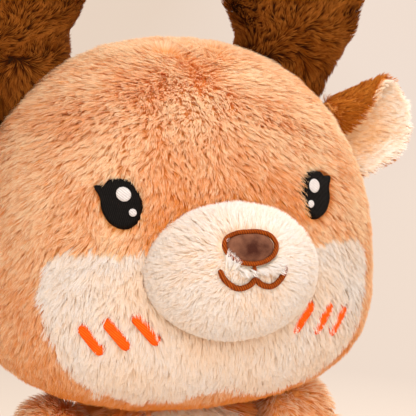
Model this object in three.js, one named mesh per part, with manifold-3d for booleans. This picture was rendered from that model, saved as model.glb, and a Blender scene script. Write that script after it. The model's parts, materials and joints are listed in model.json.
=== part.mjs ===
// A seated plush deer, in millimetres, with +Z up and the face towards -Y.
// Each panel is a skin of backing and pile, sewn round its own stuffing. The head, the arms, the
// legs and the ears are sewn on at narrow roots, so each of them turns a little at its seam.
import * as THREE from 'three';
import { mergeVertices } from 'three/addons/utils/BufferGeometryUtils.js';
import Module from 'manifold-3d';

const wasm = await Module();
wasm.setup();

// Clearances between neighbouring pieces
const seamGap = 0.3;
const turnGap = 0.4;
const overrun = 5;
const floorFlat = 0.5;
const slopeStep = 0.01;

// Skins: backing and pile together
const headSkin = 8;
const bodySkin = 7;
const limbSkin = 6;
const antlerSkin = 6;
const muzzleSkin = 7;

// Head, measured from its widest level
const headHalfWidth = 105;
const headHalfDepth = 96;
const headCrownHeight = 121;
const headChinDepth = 63;
const headSeamBack = 12;
const headPlanRoundness = 2.22;
const headSideRoundness = 2.25;
const headChinRoundness = 2.6;

// Torso and neck
const torsoHalfWidth = 64;
const torsoHalfDepth = 57;
const torsoHeight = 145;
const torsoWidestHeight = 50;
const torsoBaseRoundness = 3;
const torsoTopRoundness = 2.6;
const chinSink = 9;
const neckRadius = 36;
const neckDepth = 14;
const pelletBagHeight = 38;
const bellyHalfWidth = 43;
const bellyHalfHeight = 50.5;
const bellyHeight = 84;
const bellyRoundness = 3;

// Tail
const tailLength = 34;
const tailRootRadius = 10;
const tailRadius = 13;
const tailHeight = 46;
const tailRise = 0.55;

// Face panel of cream plush, with one lobe over each cheek
const maskHalfWidth = 85;
const maskTop = 27;
const maskChin = 47;
const maskReach = 20;
const maskShares = [
  [0, 1], [0.5, 1], [0.8, 1], [0.93, 0.9], [1, 0.45], [0.99, 0.02], [0.95, -0.27], [0.9, -0.5],
  [0.8, -0.71], [0.68, -0.85], [0.53, -0.94], [0.37, -0.99], [0, -1],
];

// Muzzle, measured from the middle of the head
const muzzleHalfWidth = 43;
const muzzleHalfDepth = 37;
const muzzleHalfHeight = 33;
const muzzleForward = 88;
const muzzleUp = 21;

// Embroidery: how deep it is sunk between the pile tips
const stitchTop = 3.5;
const stitchFloor = 6.2;
const glintTop = 3;

// Eyes
const eyeAcross = 49;
const eyeUp = 53;
const eyeHalfWidth = 9.5;
const eyeHalfHeight = 12;
const eyeShares = [
  [-0.1, 1], [-0.55, 0.9], [-0.88, 0.5], [-1, 0], [-0.85, -0.55], [-0.45, -0.92], [0.05, -1],
  [0.55, -0.78], [0.86, -0.3], [0.9, 0.2], [1.12, 0.68], [0.7, 0.72], [0.4, 0.94],
];
const glintRadius = 4;
const glintAcross = -1.9;
const glintUp = 4.3;
const smallGlintRadius = 2.4;
const smallGlintAcross = -5;
const smallGlintUp = -3.8;

// Cheek strokes: each from its outer upper end to its inner lower end
const strokeHalfLength = 9.8;
const strokeHalfWidth = 2.8;
const strokeTurn = 0.87;
// Each stroke's middle, as shares of the head's half width and chin depth
const strokeSpotShares = [[0.598, 0.171], [0.495, 0.117], [0.373, 0.073]];

// Nose and mouth, on the muzzle
const noseUp = 17.5;
const noseHalfWidth = 13.4;
const noseHalfHeight = 9.2;
const noseBorderWidth = 2.4;
const noseProud = 2.2;
const noseBorderProud = 1.2;
const noseFloor = 4;
const noseShares = [
  [-1, 0.15], [-0.84, 0.66], [-0.42, 0.95], [0, 1], [0.42, 0.95], [0.84, 0.66], [1, 0.15],
  [0.88, -0.42], [0.5, -0.85], [0, -1], [-0.5, -0.85], [-0.88, -0.42],
];
const mouthUp = 5;
const mouthHalfWidth = 15.8;
const mouthRise = 4.4;
const mouthLine = 2.6;
const mouthProud = 0.6;
const mouthShares = [[1, 0.95], [0.87, -0.1], [0.52, -1], [0.2, -0.75], [0, -0.1]];
const philtrumTop = 6;

// Ears: a leaf whose upper half folds over to the front, most of all near the root
const earLength = 43;
const earHalfWidth = 24;
const earRootHalfWidth = 28;
const earFoldRootWidth = 38;
const earFoldTipWidth = 22;
const earFoldFlatShare = 0.3;
const earFoldBendShare = 0.45;
const earFoldTurn = 3.1;
const earLayer = 4.5;
const earUpShare = 0.561983;
const earTilt = 0.42;
const earRootRadius = 9.5;
const earRootLength = 24;
const earRootProud = 5.5;
const earLowerCurl = 0.9;
const earTipCurl = 0.35;

// Antlers: a trunk and two tines, flattened from front to back
const antlerBack = 30;
const antlerFlatness = 0.8;
const trunkFootRadius = 20;
const trunkForkRadius = 30.5;
const innerTineFootRadius = 31;
const innerTineTipRadius = 21;
const outerTineFootRadius = 21.5;
const outerTineTipRadius = 18;
// Where each limb starts and ends, as shares of the head's half width and crown height
const trunkShares = [[0.6095, 0.6529], [0.7333, 1]];
const innerTineShares = [[0.6952, 1.124], [0.4762, 1.3223]];
const outerTineShares = [[0.8905, 1.062], [1.0381, 1.3967]];

// Arms: they hang outwards from the shoulder seam
const armRootRadius = 23;
const armWaistRadius = 17.8;
const armHandRadius = 23;
const armLength = 84;
const armHoofLength = 27;
const armDownShare = 0.71;
const armForwardShare = 0.2;
const shoulderDrop = 23;
const shoulderForward = 14;
const headArmGap = 0.8;

// Legs: they lie forward on the floor
const legRootRadius = 24;
const legWaistRadius = 21.5;
const legFootRadius = 28.5;
const legLength = 84;
const legHoofLength = 27;
const legSpread = 0.2;
const hipAcross = 38;
const rootReachShare = 0.72;
const rootHoleRadius = 8;

// Points on outlines
const maskPoints = 32;
const eyePoints = 18;
const glintPoints = 10;
const nosePoints = 16;
const mouthPoints = 5;

// Facet counts
const headAround = 30;
const headRings = 18;
const liningAround = 18;
const liningRings = 12;
const muzzleAround = 18;
const muzzleRings = 12;
const torsoAround = 22;
const torsoRings = 12;
const limbAround = 14;
const limbSteps = 12;
const stuffingAround = 9;
const stuffingSteps = 8;
const antlerAround = 11;
const rootAround = 14;
const earStations = 7;
const earBendSteps = 5;
const earLowerSteps = 4;
const socketAround = 16;
const socketRings = 10;
const neckSides = 32;

const headHeight = torsoHeight + headChinDepth - chinSink;

// Solids from three.js geometry, and back

function solidOf(geometry) {
  const bare = geometry.clone();
  bare.deleteAttribute('normal');
  bare.deleteAttribute('uv');
  const merged = mergeVertices(bare);
  const index = merged.index.array;
  const corners = [];
  for (let at = 0; at < index.length; at += 3) {
    const [a, b, c] = [index[at], index[at + 1], index[at + 2]];
    if (a !== b && b !== c && c !== a) corners.push(a, b, c);
  }
  return new wasm.Manifold(new wasm.Mesh({
    numProp: 3,
    vertProperties: Float32Array.from(merged.attributes.position.array),
    triVerts: Uint32Array.from(corners),
  }));
}

function geometryOf(solid) {
  const mesh = solid.getMesh();
  const geometry = new THREE.BufferGeometry();
  geometry.setAttribute('position', new THREE.BufferAttribute(mesh.vertProperties, 3));
  geometry.setIndex(new THREE.BufferAttribute(mesh.triVerts, 1));
  return geometry;
}

function mirrored(geometry) {
  const copy = geometry.index ? geometry.toNonIndexed() : geometry.clone();
  copy.scale(-1, 1, 1);
  const place = copy.attributes.position;
  for (let at = 0; at < place.count; at += 3) {
    const second = new THREE.Vector3().fromBufferAttribute(place, at + 1);
    const third = new THREE.Vector3().fromBufferAttribute(place, at + 2);
    place.setXYZ(at + 1, third.x, third.y, third.z);
    place.setXYZ(at + 2, second.x, second.y, second.z);
  }
  copy.deleteAttribute('normal');
  copy.deleteAttribute('uv');
  return mergeVertices(copy);
}

// A solid on the deer's left, or its mirror image on the right
function onSide(solid, side) {
  return side > 0 ? solid : solidOf(mirrored(geometryOf(solid)));
}

// Basic closed forms

function ball(radius, around, rings) {
  return new THREE.SphereGeometry(radius, around, rings).rotateX(Math.PI / 2);
}

// A ball whose flat facets all lie outside the given radius
function socketBall(radius) {
  const flatness = Math.cos(Math.PI / socketAround) * Math.cos(Math.PI / (2 * socketRings));
  return ball((radius + seamGap) / flatness, socketAround, socketRings);
}

function block(low, high) {
  const size = new THREE.Vector3().subVectors(high, low);
  const middle = new THREE.Vector3().addVectors(low, high).multiplyScalar(0.5);
  return new THREE.BoxGeometry(size.x, size.y, size.z).translate(middle.x, middle.y, middle.z);
}

function rod(radius, low, high, sides) {
  const length = high - low;
  return new THREE.CylinderGeometry(radius, radius, length, sides)
    .rotateX(Math.PI / 2)
    .translate(0, 0, low + length / 2);
}

// A round body between two points, with its own radius at each end
function taperedLimb(from, to, fromRadius, toRadius, sides) {
  const along = new THREE.Vector3().subVectors(to, from);
  const length = along.length();
  const lean = Math.asin((fromRadius - toRadius) / length);
  const profile = [];
  const capSteps = 3;
  for (let step = 0; step <= capSteps; step += 1) {
    const turn = -Math.PI / 2 + (Math.PI / 2 + lean) * (step / capSteps);
    profile.push(new THREE.Vector2(fromRadius * Math.cos(turn), fromRadius * Math.sin(turn)));
  }
  for (let step = 0; step <= capSteps; step += 1) {
    const turn = lean + (Math.PI / 2 - lean) * (step / capSteps);
    profile.push(new THREE.Vector2(toRadius * Math.cos(turn), length + toRadius * Math.sin(turn)));
  }
  profile[0].x = 0;
  profile[profile.length - 1].x = 0;
  const turn = new THREE.Quaternion().setFromUnitVectors(new THREE.Vector3(0, 1, 0), along.normalize());
  return new THREE.LatheGeometry(profile, sides).applyQuaternion(turn).translate(from.x, from.y, from.z);
}

// Rings of equal length, joined to each other and closed with a flat fan at both ends
function loft(rings) {
  const count = rings[0].length;
  const places = rings.flat().flatMap((point) => point.toArray());
  const corners = [];
  for (let ring = 0; ring < rings.length - 1; ring += 1) {
    for (let at = 0; at < count; at += 1) {
      const next = (at + 1) % count;
      const low = ring * count;
      const high = low + count;
      corners.push(low + at, low + next, high + next);
      corners.push(low + at, high + next, high + at);
    }
  }
  const capEnd = (ring, flipped) => {
    const middle = new THREE.Vector3();
    rings[ring].forEach((point) => middle.addScaledVector(point, 1 / count));
    const hub = places.length / 3;
    places.push(...middle.toArray());
    for (let at = 0; at < count; at += 1) {
      const here = ring * count + at;
      const next = ring * count + (at + 1) % count;
      corners.push(hub, flipped ? next : here, flipped ? here : next);
    }
  };
  capEnd(0, true);
  capEnd(rings.length - 1, false);
  const geometry = new THREE.BufferGeometry();
  geometry.setAttribute('position', new THREE.Float32BufferAttribute(places, 3));
  geometry.setIndex(corners);
  return geometry;
}

// Rounded bodies: a unit ball pushed out to a surface

function pushedBall(around, rings, radiusAlong) {
  const geometry = ball(1, around, rings);
  const place = geometry.attributes.position;
  for (let at = 0; at < place.count; at += 1) {
    const way = new THREE.Vector3().fromBufferAttribute(place, at).normalize();
    way.multiplyScalar(radiusAlong(way));
    place.setXYZ(at, way.x, way.y, way.z);
  }
  return geometry;
}

// The head is rounder above its widest level than below it
function headCurve(up) {
  return up > 0 ? [headCrownHeight, headSideRoundness] : [headChinDepth, headChinRoundness];
}

function headLevel(point, inset) {
  const [height, roundness] = headCurve(point.z);
  const across = (Math.abs(point.x) / (headHalfWidth - inset)) ** headPlanRoundness;
  const deep = (Math.abs(point.y) / (headHalfDepth - inset)) ** headPlanRoundness;
  const tall = (Math.abs(point.z) / (height - inset)) ** roundness;
  return (across + deep) ** (roundness / headPlanRoundness) + tall;
}

function headSolid(inset, around = headAround, rings = headRings) {
  const reach = (way) => headLevel(way, inset) ** (-1 / headCurve(way.z)[1]);
  return solidOf(pushedBall(around, rings, reach));
}

function muzzleLevel(point) {
  const across = point.x / muzzleHalfWidth;
  const deep = (point.y + muzzleForward) / muzzleHalfDepth;
  const tall = (point.z - muzzleUp) / muzzleHalfHeight;
  return across * across + deep * deep + tall * tall;
}

function muzzleSolid(inset) {
  const geometry = ball(1, muzzleAround, muzzleRings)
    .scale(muzzleHalfWidth - inset, muzzleHalfDepth - inset, muzzleHalfHeight - inset)
    .translate(0, -muzzleForward, muzzleUp);
  return solidOf(geometry);
}

// How wide the torso is at a height, as a share of its widest
function torsoShare(height, inset) {
  const below = height < torsoWidestHeight;
  const reach = below ? torsoWidestHeight : torsoHeight - torsoWidestHeight;
  const roundness = below ? torsoBaseRoundness : torsoTopRoundness;
  const climb = Math.min(1, Math.abs(height - torsoWidestHeight) / (reach - inset));
  return (1 - climb ** roundness) ** (1 / roundness);
}

function torsoSolid(inset, around, rings) {
  const profile = [];
  for (let step = 0; step <= rings; step += 1) {
    const turn = -Math.PI / 2 + Math.PI * (step / rings);
    const reach = turn < 0 ? torsoWidestHeight + floorFlat : torsoHeight - torsoWidestHeight;
    const roundness = turn < 0 ? torsoBaseRoundness : torsoTopRoundness;
    const wide = Math.abs(Math.cos(turn)) ** (2 / roundness);
    const tall = Math.sign(turn) * Math.abs(Math.sin(turn)) ** (2 / roundness);
    profile.push(new THREE.Vector2(wide, torsoWidestHeight + (reach - inset) * tall));
  }
  profile[0].x = 0;
  profile[rings].x = 0;
  const geometry = new THREE.LatheGeometry(profile, around)
    .rotateX(Math.PI / 2)
    .scale(torsoHalfWidth - inset, torsoHalfDepth - inset, 1);
  return solidOf(geometry);
}

// Spots on a surface, each with its tangent axes

function spotOn(levelOf, place) {
  const slope = (x, y, z) => {
    const reach = new THREE.Vector3(x, y, z).multiplyScalar(slopeStep);
    return levelOf(place.clone().add(reach)) - levelOf(place.clone().sub(reach));
  };
  const out = new THREE.Vector3(slope(1, 0, 0), slope(0, 1, 0), slope(0, 0, 1)).normalize();
  const across = new THREE.Vector3(-out.y, out.x, 0).normalize();
  const up = new THREE.Vector3().crossVectors(out, across);
  return { place, out, across, up, frame: new THREE.Matrix4().makeBasis(across, up, out).setPosition(place) };
}

function headSpot(across, up) {
  const [height, roundness] = headCurve(up);
  const ring = (1 - (Math.abs(up) / height) ** roundness) ** (headPlanRoundness / roundness);
  const depth = (ring - (Math.abs(across) / headHalfWidth) ** headPlanRoundness) ** (1 / headPlanRoundness);
  return spotOn((point) => headLevel(point, 0), new THREE.Vector3(across, -headHalfDepth * depth, up));
}

function muzzleSpot(up) {
  const depth = Math.sqrt(1 - (up / muzzleHalfHeight) ** 2);
  const place = new THREE.Vector3(0, -muzzleForward - muzzleHalfDepth * depth, muzzleUp + up);
  return spotOn(muzzleLevel, place);
}

// The height of the head's underside, above or below its widest level
function headUnderside(across, back) {
  const wide = (across / headHalfWidth) ** headPlanRoundness + (back / headHalfDepth) ** headPlanRoundness;
  const ring = wide ** (headChinRoundness / headPlanRoundness);
  return -headChinDepth * (1 - ring) ** (1 / headChinRoundness);
}

// The head's half width at a height above its widest level and a distance behind its middle
function headSide(back, up) {
  const ring = (1 - (up / headCrownHeight) ** headSideRoundness) ** (headPlanRoundness / headSideRoundness);
  return headHalfWidth * (ring - (back / headHalfDepth) ** headPlanRoundness) ** (1 / headPlanRoundness);
}

// Outlines and the prisms that they cut

function smoothOutline(shares, width, height, count) {
  const corners = shares.map(([across, up]) => new THREE.Vector3(across * width, up * height, 0));
  const points = new THREE.CatmullRomCurve3(corners, true, 'centripetal').getPoints(count).slice(0, -1);
  return points.map((point) => new THREE.Vector2(point.x, point.y));
}

function circleOutline(radius, count, across, up) {
  return Array.from({ length: count }, (_, at) => {
    const turn = (2 * Math.PI * at) / count;
    return new THREE.Vector2(across + radius * Math.cos(turn), up + radius * Math.sin(turn));
  });
}

function grownOutline(points, by) {
  const wise = THREE.ShapeUtils.isClockWise(points) ? -1 : 1;
  return points.map((point, at) => {
    const before = points[(at + points.length - 1) % points.length];
    const after = points[(at + 1) % points.length];
    const along = new THREE.Vector2().subVectors(after, before).normalize();
    return new THREE.Vector2(point.x + wise * by * along.y, point.y - wise * by * along.x);
  });
}

// A band of even width along an open line of points
function bandOutline(points, width) {
  const side = (sign) => points.map((point, at) => {
    const before = points[Math.max(at - 1, 0)];
    const after = points[Math.min(at + 1, points.length - 1)];
    const along = new THREE.Vector2().subVectors(after, before).normalize();
    const reach = sign * width / 2;
    return new THREE.Vector2(point.x + reach * along.y, point.y - reach * along.x);
  });
  return [...side(1), ...side(-1).reverse()];
}

function prism(points, frame, below, above) {
  const shape = new THREE.Shape(points);
  const geometry = new THREE.ExtrudeGeometry(shape, { depth: below + above, bevelEnabled: false });
  return solidOf(geometry.translate(0, 0, -below).applyMatrix4(frame));
}

// Materials

function plush(color, roughness) {
  return new THREE.MeshStandardMaterial({ color, roughness, metalness: 0 });
}

const brownPlush = plush(0xd9975f, 0.95);
const creamPlush = plush(0xf6e6d0, 0.95);
const darkPlush = plush(0x5a2f14, 0.95);
const filling = plush(0xf2f0ea, 1);
const pelletCloth = plush(0xe6e2d8, 0.9);
const blackThread = plush(0x120f0e, 0.5);
const whiteThread = plush(0xf1ece6, 0.55);
const orangeThread = plush(0xf4692a, 0.55);
const rustThread = plush(0x9c4a20, 0.55);
const noseSuede = plush(0x6b4130, 0.85);

function addPart(group, name, geometry, material) {
  const mesh = new THREE.Mesh(geometry, material);
  mesh.name = name;
  group.add(mesh);
}

// Head: two panels that meet in a seam over the crown, a face panel, and what is sewn to them

const sides = [['left', 1], ['right', -1]];

const grownHead = headSolid(-seamGap);
const headInner = headSolid(headSkin, liningAround, liningRings);

function maskOutline(grow) {
  const half = maskShares.map(([across, up]) => [across, up > 0 ? up * maskTop : up * maskChin]);
  const other = half.slice(1, -1).reverse().map(([across, up]) => [-across, up]);
  return grownOutline(smoothOutline([...half, ...other], maskHalfWidth, 1, maskPoints), grow);
}

// The face panel's outline lies in a plane across the deer and cuts straight back
function maskPrism(grow) {
  const facing = new THREE.Matrix4().makeBasis(
    new THREE.Vector3(1, 0, 0),
    new THREE.Vector3(0, 0, 1),
    new THREE.Vector3(0, -1, 0),
  );
  return prism(maskOutline(grow), facing, -maskReach, headHalfDepth + overrun);
}

function neckHole() {
  const low = -headChinDepth - overrun;
  const high = -headChinDepth + neckDepth + seamGap;
  return solidOf(rod((neckRadius + turnGap) / Math.cos(Math.PI / neckSides), low, high, neckSides));
}

// Embroidery fills a pocket in the pile, from the pocket's floor up to its own face
function stitched(outline, spot, top) {
  return prism(outline, spot.frame, stitchFloor, -top);
}

function pocketFor(outline, spot) {
  return prism(grownOutline(outline, seamGap), spot.frame, stitchFloor + seamGap, overrun);
}

function eyeSpot(side) {
  return headSpot(side * eyeAcross, eyeUp);
}

function eyeOutline(side) {
  return smoothOutline(eyeShares, side * eyeHalfWidth, eyeHalfHeight, eyePoints);
}

function strokeSpot(side, [acrossShare, downShare]) {
  return headSpot(side * acrossShare * headHalfWidth, -downShare * headChinDepth);
}

function strokeOutline(side) {
  const ends = 4;
  const outline = [];
  for (const end of [1, -1]) {
    for (let step = 0; step <= ends; step += 1) {
      const turn = Math.PI * (step / ends - 0.5);
      const along = end * (strokeHalfLength - strokeHalfWidth + strokeHalfWidth * Math.cos(turn));
      outline.push(new THREE.Vector2(along, end * strokeHalfWidth * Math.sin(turn)));
    }
  }
  return outline.map((point) => point.rotateAround(new THREE.Vector2(), side * strokeTurn));
}

// An ear's own frame: x along it, y up its root seam, z towards the front
function earFrame() {
  const along = new THREE.Vector3(Math.cos(earTilt), 0, Math.sin(earTilt));
  const up = new THREE.Vector3(-Math.sin(earTilt), 0, Math.cos(earTilt));
  const front = new THREE.Vector3(0, -1, 0);
  const height = earUpShare * headCrownHeight;
  const across = headSide(headSeamBack, height) + earRootProud;
  return new THREE.Matrix4().makeBasis(along, up, front).setPosition(across, headSeamBack, height);
}

function earRoot(grow) {
  const reach = earRootLength / 2;
  const low = new THREE.Vector3(0, -reach, 0);
  const high = new THREE.Vector3(0, reach, 0);
  const widen = grow > 0 ? 1 / Math.cos(Math.PI / rootAround) ** 2 : 1;
  const radius = (earRootRadius + grow) * widen;
  return solidOf(taperedLimb(low, high, radius, radius, rootAround).applyMatrix4(earFrame()));
}

// A point of a sheet that runs flat, bends at an even rate and runs on straight, and its slope there
function bentSheet(run, flat, bend, turn) {
  const bent = Math.min(Math.max(0, run - flat), bend);
  const rest = Math.max(0, run - flat - bend);
  const slope = (turn * bent) / bend;
  const radius = bend / turn;
  return {
    up: Math.min(run, flat) + radius * Math.sin(slope) + rest * Math.cos(slope),
    forward: radius * (1 - Math.cos(slope)) + rest * Math.sin(slope),
    slope,
  };
}

// One layer of an ear, from one distance off its middle sheet to another, and how far past its edges
function earSheet(near, far, past) {
  const inner = Array.from({ length: earStations + 1 }, (_, at) => (earLength * at) / earStations);
  const places = past > 0 ? [-past, ...inner, earLength + past] : inner;
  const bends = Array.from({ length: earBendSteps + 1 }, (_, at) => (earFoldBendShare * at) / earBendSteps);
  const upperShares = [0, earFoldFlatShare / 2, ...bends.map((share) => earFoldFlatShare + share)];
  const lowerShares = Array.from({ length: earLowerSteps - 1 }, (_, at) => (at + 1) / earLowerSteps);
  const rings = places.map((place) => {
    const share = Math.min(1, Math.max(0, place / earLength));
    const bulge = Math.sqrt(Math.max(0.02, 1 - (2 * Math.max(share, 0.5) - 1) ** 2.2));
    const rootward = 1 - share ** 1.7;
    const upper = bulge * (earFoldRootWidth + (earFoldTipWidth - earFoldRootWidth) * share);
    const lower = bulge * (earHalfWidth + (earRootHalfWidth - earHalfWidth) * rootward);
    const turn = earTipCurl + (earFoldTurn - earTipCurl) * (1 - share ** 1.3);
    const curl = earTipCurl + (earLowerCurl - earTipCurl) * rootward;
    const onSheet = (run, off) => {
      const width = run > 0 ? upper : lower;
      const flat = run > 0 ? earFoldFlatShare * width : 0;
      const bend = run > 0 ? earFoldBendShare * width : width;
      const spot = bentSheet(Math.abs(run), flat, bend, run > 0 ? turn : curl);
      const thin = off * (1 - 0.45 * Math.min(1, Math.abs(run) / width) ** 4);
      const up = spot.up - thin * Math.sin(spot.slope);
      return new THREE.Vector3(place, Math.sign(run) * up, spot.forward + thin * Math.cos(spot.slope));
    };
    const runs = [
      -lower - past,
      ...lowerShares.map((part) => -lower * part).reverse(),
      ...upperShares.map((part) => upper * part),
      upper + past,
    ];
    return [...runs.map((run) => onSheet(run, near)), ...runs.map((run) => onSheet(run, far)).reverse()];
  });
  return solidOf(loft(rings).applyMatrix4(earFrame()));
}

function antlerSolid(inset, around) {
  const spot = ([across, up]) => new THREE.Vector3(across * headHalfWidth, 0, up * headCrownHeight);
  const limb = ([from, to], fromRadius, toRadius) => solidOf(
    taperedLimb(spot(from), spot(to), fromRadius - inset, toRadius - inset, around)
      .scale(1, antlerFlatness, 1)
      .translate(0, antlerBack, 0),
  );
  return limb(trunkShares, trunkFootRadius, trunkForkRadius)
    .add(limb(innerTineShares, innerTineFootRadius, innerTineTipRadius))
    .add(limb(outerTineShares, outerTineFootRadius, outerTineTipRadius));
}

function noseCut(grow) {
  const outline = smoothOutline(noseShares, noseHalfWidth, noseHalfHeight, nosePoints);
  return prism(grownOutline(outline, grow), muzzleSpot(noseUp).frame, muzzleSkin, overrun);
}

function mouthCut(grow) {
  const half = mouthShares.map(([across, up]) => new THREE.Vector3(across * mouthHalfWidth, up * mouthRise, 0));
  const curve = new THREE.CatmullRomCurve3(half, false, 'centripetal').getPoints(mouthPoints);
  const right = curve.map((point) => new THREE.Vector2(point.x, point.y));
  const left = curve.slice(0, -1).map((point) => new THREE.Vector2(-point.x, point.y)).reverse();
  const line = [...right, ...left];
  const stem = [
    new THREE.Vector2(0, philtrumTop + grow),
    new THREE.Vector2(0, mouthShares[mouthShares.length - 1][1] * mouthRise),
  ];
  const width = mouthLine + 2 * grow;
  const place = muzzleSpot(mouthUp).frame;
  const lips = prism(bandOutline(line, width), place, muzzleSkin, overrun);
  return lips.add(prism(bandOutline(stem, width), place, muzzleSkin, overrun));
}

function buildHeadPanels(head) {
  const earRoots = sides.map(([, side]) => onSide(earRoot(turnGap), side));
  const eyePockets = sides.map(([, side]) => pocketFor(eyeOutline(side), eyeSpot(side)));
  const strokes = sides.flatMap(([label, side]) => strokeSpotShares.map((shares, at) => ({
    name: `cheek_stroke_${label}_${at + 1}`,
    piece: stitched(strokeOutline(side), strokeSpot(side, shares), stitchTop),
    pocket: pocketFor(strokeOutline(side), strokeSpot(side, shares)),
  })));

  const shell = headSolid(0).subtract(headInner).subtract(neckHole());
  const far = 2 * headCrownHeight;
  const halfOf = (front) => {
    const edge = headSeamBack + (front ? -seamGap / 2 : seamGap / 2);
    const low = new THREE.Vector3(-far, front ? -far : edge, -far);
    const high = new THREE.Vector3(far, front ? edge : far, far);
    const half = shell.intersect(solidOf(block(low, high)));
    return earRoots.reduce((left, root) => left.subtract(root), half);
  };
  const frontPanel = eyePockets.reduce(
    (left, pocket) => left.subtract(pocket),
    halfOf(true).subtract(maskPrism(seamGap)),
  );
  const facePanel = strokes.reduce(
    (left, stroke) => left.subtract(stroke.pocket),
    shell.intersect(maskPrism(0)),
  );
  addPart(head, 'head_front_panel', geometryOf(frontPanel), brownPlush);
  addPart(head, 'head_back_panel', geometryOf(halfOf(false)), brownPlush);
  addPart(head, 'face_panel', geometryOf(facePanel), creamPlush);
  const stuffing = headSolid(headSkin + seamGap, liningAround, liningRings).subtract(neckHole());
  addPart(head, 'head_stuffing', geometryOf(stuffing), filling);

  for (const stroke of strokes) {
    addPart(head, stroke.name, geometryOf(stroke.piece), orangeThread);
  }
}

function buildEyes(head) {
  const glints = [
    { label: 'large', radius: glintRadius, across: glintAcross, up: glintUp },
    { label: 'small', radius: smallGlintRadius, across: smallGlintAcross, up: smallGlintUp },
  ];
  for (const [label, side] of sides) {
    const spot = eyeSpot(side);
    let patch = stitched(eyeOutline(side), spot, stitchTop);
    for (const glint of glints) {
      const outline = circleOutline(glint.radius, glintPoints, side * glint.across, glint.up);
      patch = patch.subtract(pocketFor(outline, spot));
      const piece = stitched(outline, spot, glintTop);
      addPart(head, `eye_glint_${glint.label}_${label}`, geometryOf(piece), whiteThread);
    }
    addPart(head, `eye_${label}`, geometryOf(patch), blackThread);
  }
}

function buildMuzzle(head) {
  const nosePocket = noseCut(seamGap).subtract(muzzleSolid(noseFloor + seamGap));
  const mouthPocket = mouthCut(seamGap).subtract(muzzleSolid(noseFloor + seamGap));
  const skin = muzzleSolid(0)
    .subtract(muzzleSolid(muzzleSkin))
    .subtract(grownHead)
    .subtract(nosePocket)
    .subtract(mouthPocket);
  addPart(head, 'muzzle_skin', geometryOf(skin), creamPlush);
  const stuffing = muzzleSolid(muzzleSkin + seamGap).subtract(grownHead);
  addPart(head, 'muzzle_stuffing', geometryOf(stuffing), filling);

  const floor = muzzleSolid(noseFloor);
  const padCut = noseCut(-noseBorderWidth);
  const pad = padCut.intersect(muzzleSolid(-noseProud)).subtract(floor);
  addPart(head, 'nose_pad', geometryOf(pad), noseSuede);
  const border = noseCut(0)
    .subtract(noseCut(seamGap - noseBorderWidth))
    .intersect(muzzleSolid(-noseBorderProud))
    .subtract(floor);
  addPart(head, 'nose_border', geometryOf(border), rustThread);
  const mouth = mouthCut(0)
    .subtract(noseCut(seamGap))
    .intersect(muzzleSolid(-mouthProud))
    .subtract(floor);
  addPart(head, 'mouth_stitching', geometryOf(mouth), rustThread);
}

function buildAntlers(head) {
  const whole = antlerSolid(0, antlerAround).subtract(grownHead);
  const skin = whole.subtract(antlerSolid(antlerSkin, stuffingAround));
  const stuffing = antlerSolid(antlerSkin + seamGap, stuffingAround).subtract(grownHead);
  for (const [label, side] of sides) {
    addPart(head, `antler_${label}_skin`, geometryOf(onSide(skin, side)), darkPlush);
    addPart(head, `antler_${label}_stuffing`, geometryOf(onSide(stuffing, side)), filling);
  }
}

function buildEars(head) {
  const leaf = earSheet(-earLayer, earLayer, 0).subtract(grownHead);
  const behind = (edge) => earSheet(-earLayer - overrun, edge, overrun);
  const back = leaf.intersect(behind(0)).add(earRoot(0));
  const front = leaf.subtract(behind(seamGap)).subtract(earRoot(seamGap));
  for (const [label, side] of sides) {
    addPart(head, `ear_${label}_back`, geometryOf(onSide(back, side)), brownPlush);
    addPart(head, `ear_${label}_front`, geometryOf(onSide(front, side)), creamPlush);
  }
}

// Limbs: one lathe profile gives the skin, the hoof and the stuffing

// The radius of a limb at a distance from its root: a ball at the root, a waist, then the end
function limbRadius(limb, along, inset) {
  const { root, waist, end, length } = limb;
  const ballEnd = Math.sqrt(root * root - waist * waist);
  if (along <= ballEnd) return Math.sqrt(Math.max(0, (root - inset) ** 2 - along * along));
  const swellEnd = length - end;
  const swell = Math.min(1, (along - ballEnd) / (swellEnd - ballEnd));
  const body = waist + (end - waist) * Math.sin((Math.PI / 2) * swell);
  if (along <= swellEnd) return body - inset;
  const tip = Math.min(1, (along - swellEnd) / (end - inset));
  return (end - inset) * (1 - tip ** 2.4) ** (1 / 2.4);
}

// The whole limb at a depth under its surface
function limbSolid(limb, inset, around, steps) {
  const from = inset - limb.root;
  const reach = limb.length - inset - from;
  const line = Array.from({ length: steps + 1 }, (_, at) => {
    const along = from + (reach / 2) * (1 - Math.cos(Math.PI * (at / steps)));
    return new THREE.Vector2(limbRadius(limb, along, inset), along);
  });
  line[0].x = 0;
  line[steps].x = 0;
  return solidOf(new THREE.LatheGeometry(line, around));
}

// The skin is open at the root seam and at the hoof seam
function limbPieces(limb) {
  const hollow = limbSolid(limb, limbSkin, stuffingAround, stuffingSteps);
  const opening = solidOf(rod(rootHoleRadius, 0, limb.root + overrun, stuffingAround).rotateX(Math.PI / 2));
  const shell = limbSolid(limb, 0, limbAround, limbSteps).subtract(hollow).subtract(opening);
  const far = 2 * limb.length;
  const seam = limb.length - limb.hoof;
  const beyond = (edge) => solidOf(block(new THREE.Vector3(-far, edge, -far), new THREE.Vector3(far, far, far)));
  return {
    skin: shell.subtract(beyond(seam)),
    hoof: shell.intersect(beyond(seam + seamGap)),
    stuffing: limbSolid(limb, limbSkin + seamGap, stuffingAround, stuffingSteps),
  };
}

const arm = { root: armRootRadius, waist: armWaistRadius, end: armHandRadius, length: armLength, hoof: armHoofLength };
const leg = { root: legRootRadius, waist: legWaistRadius, end: legFootRadius, length: legLength, hoof: legHoofLength };

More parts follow.
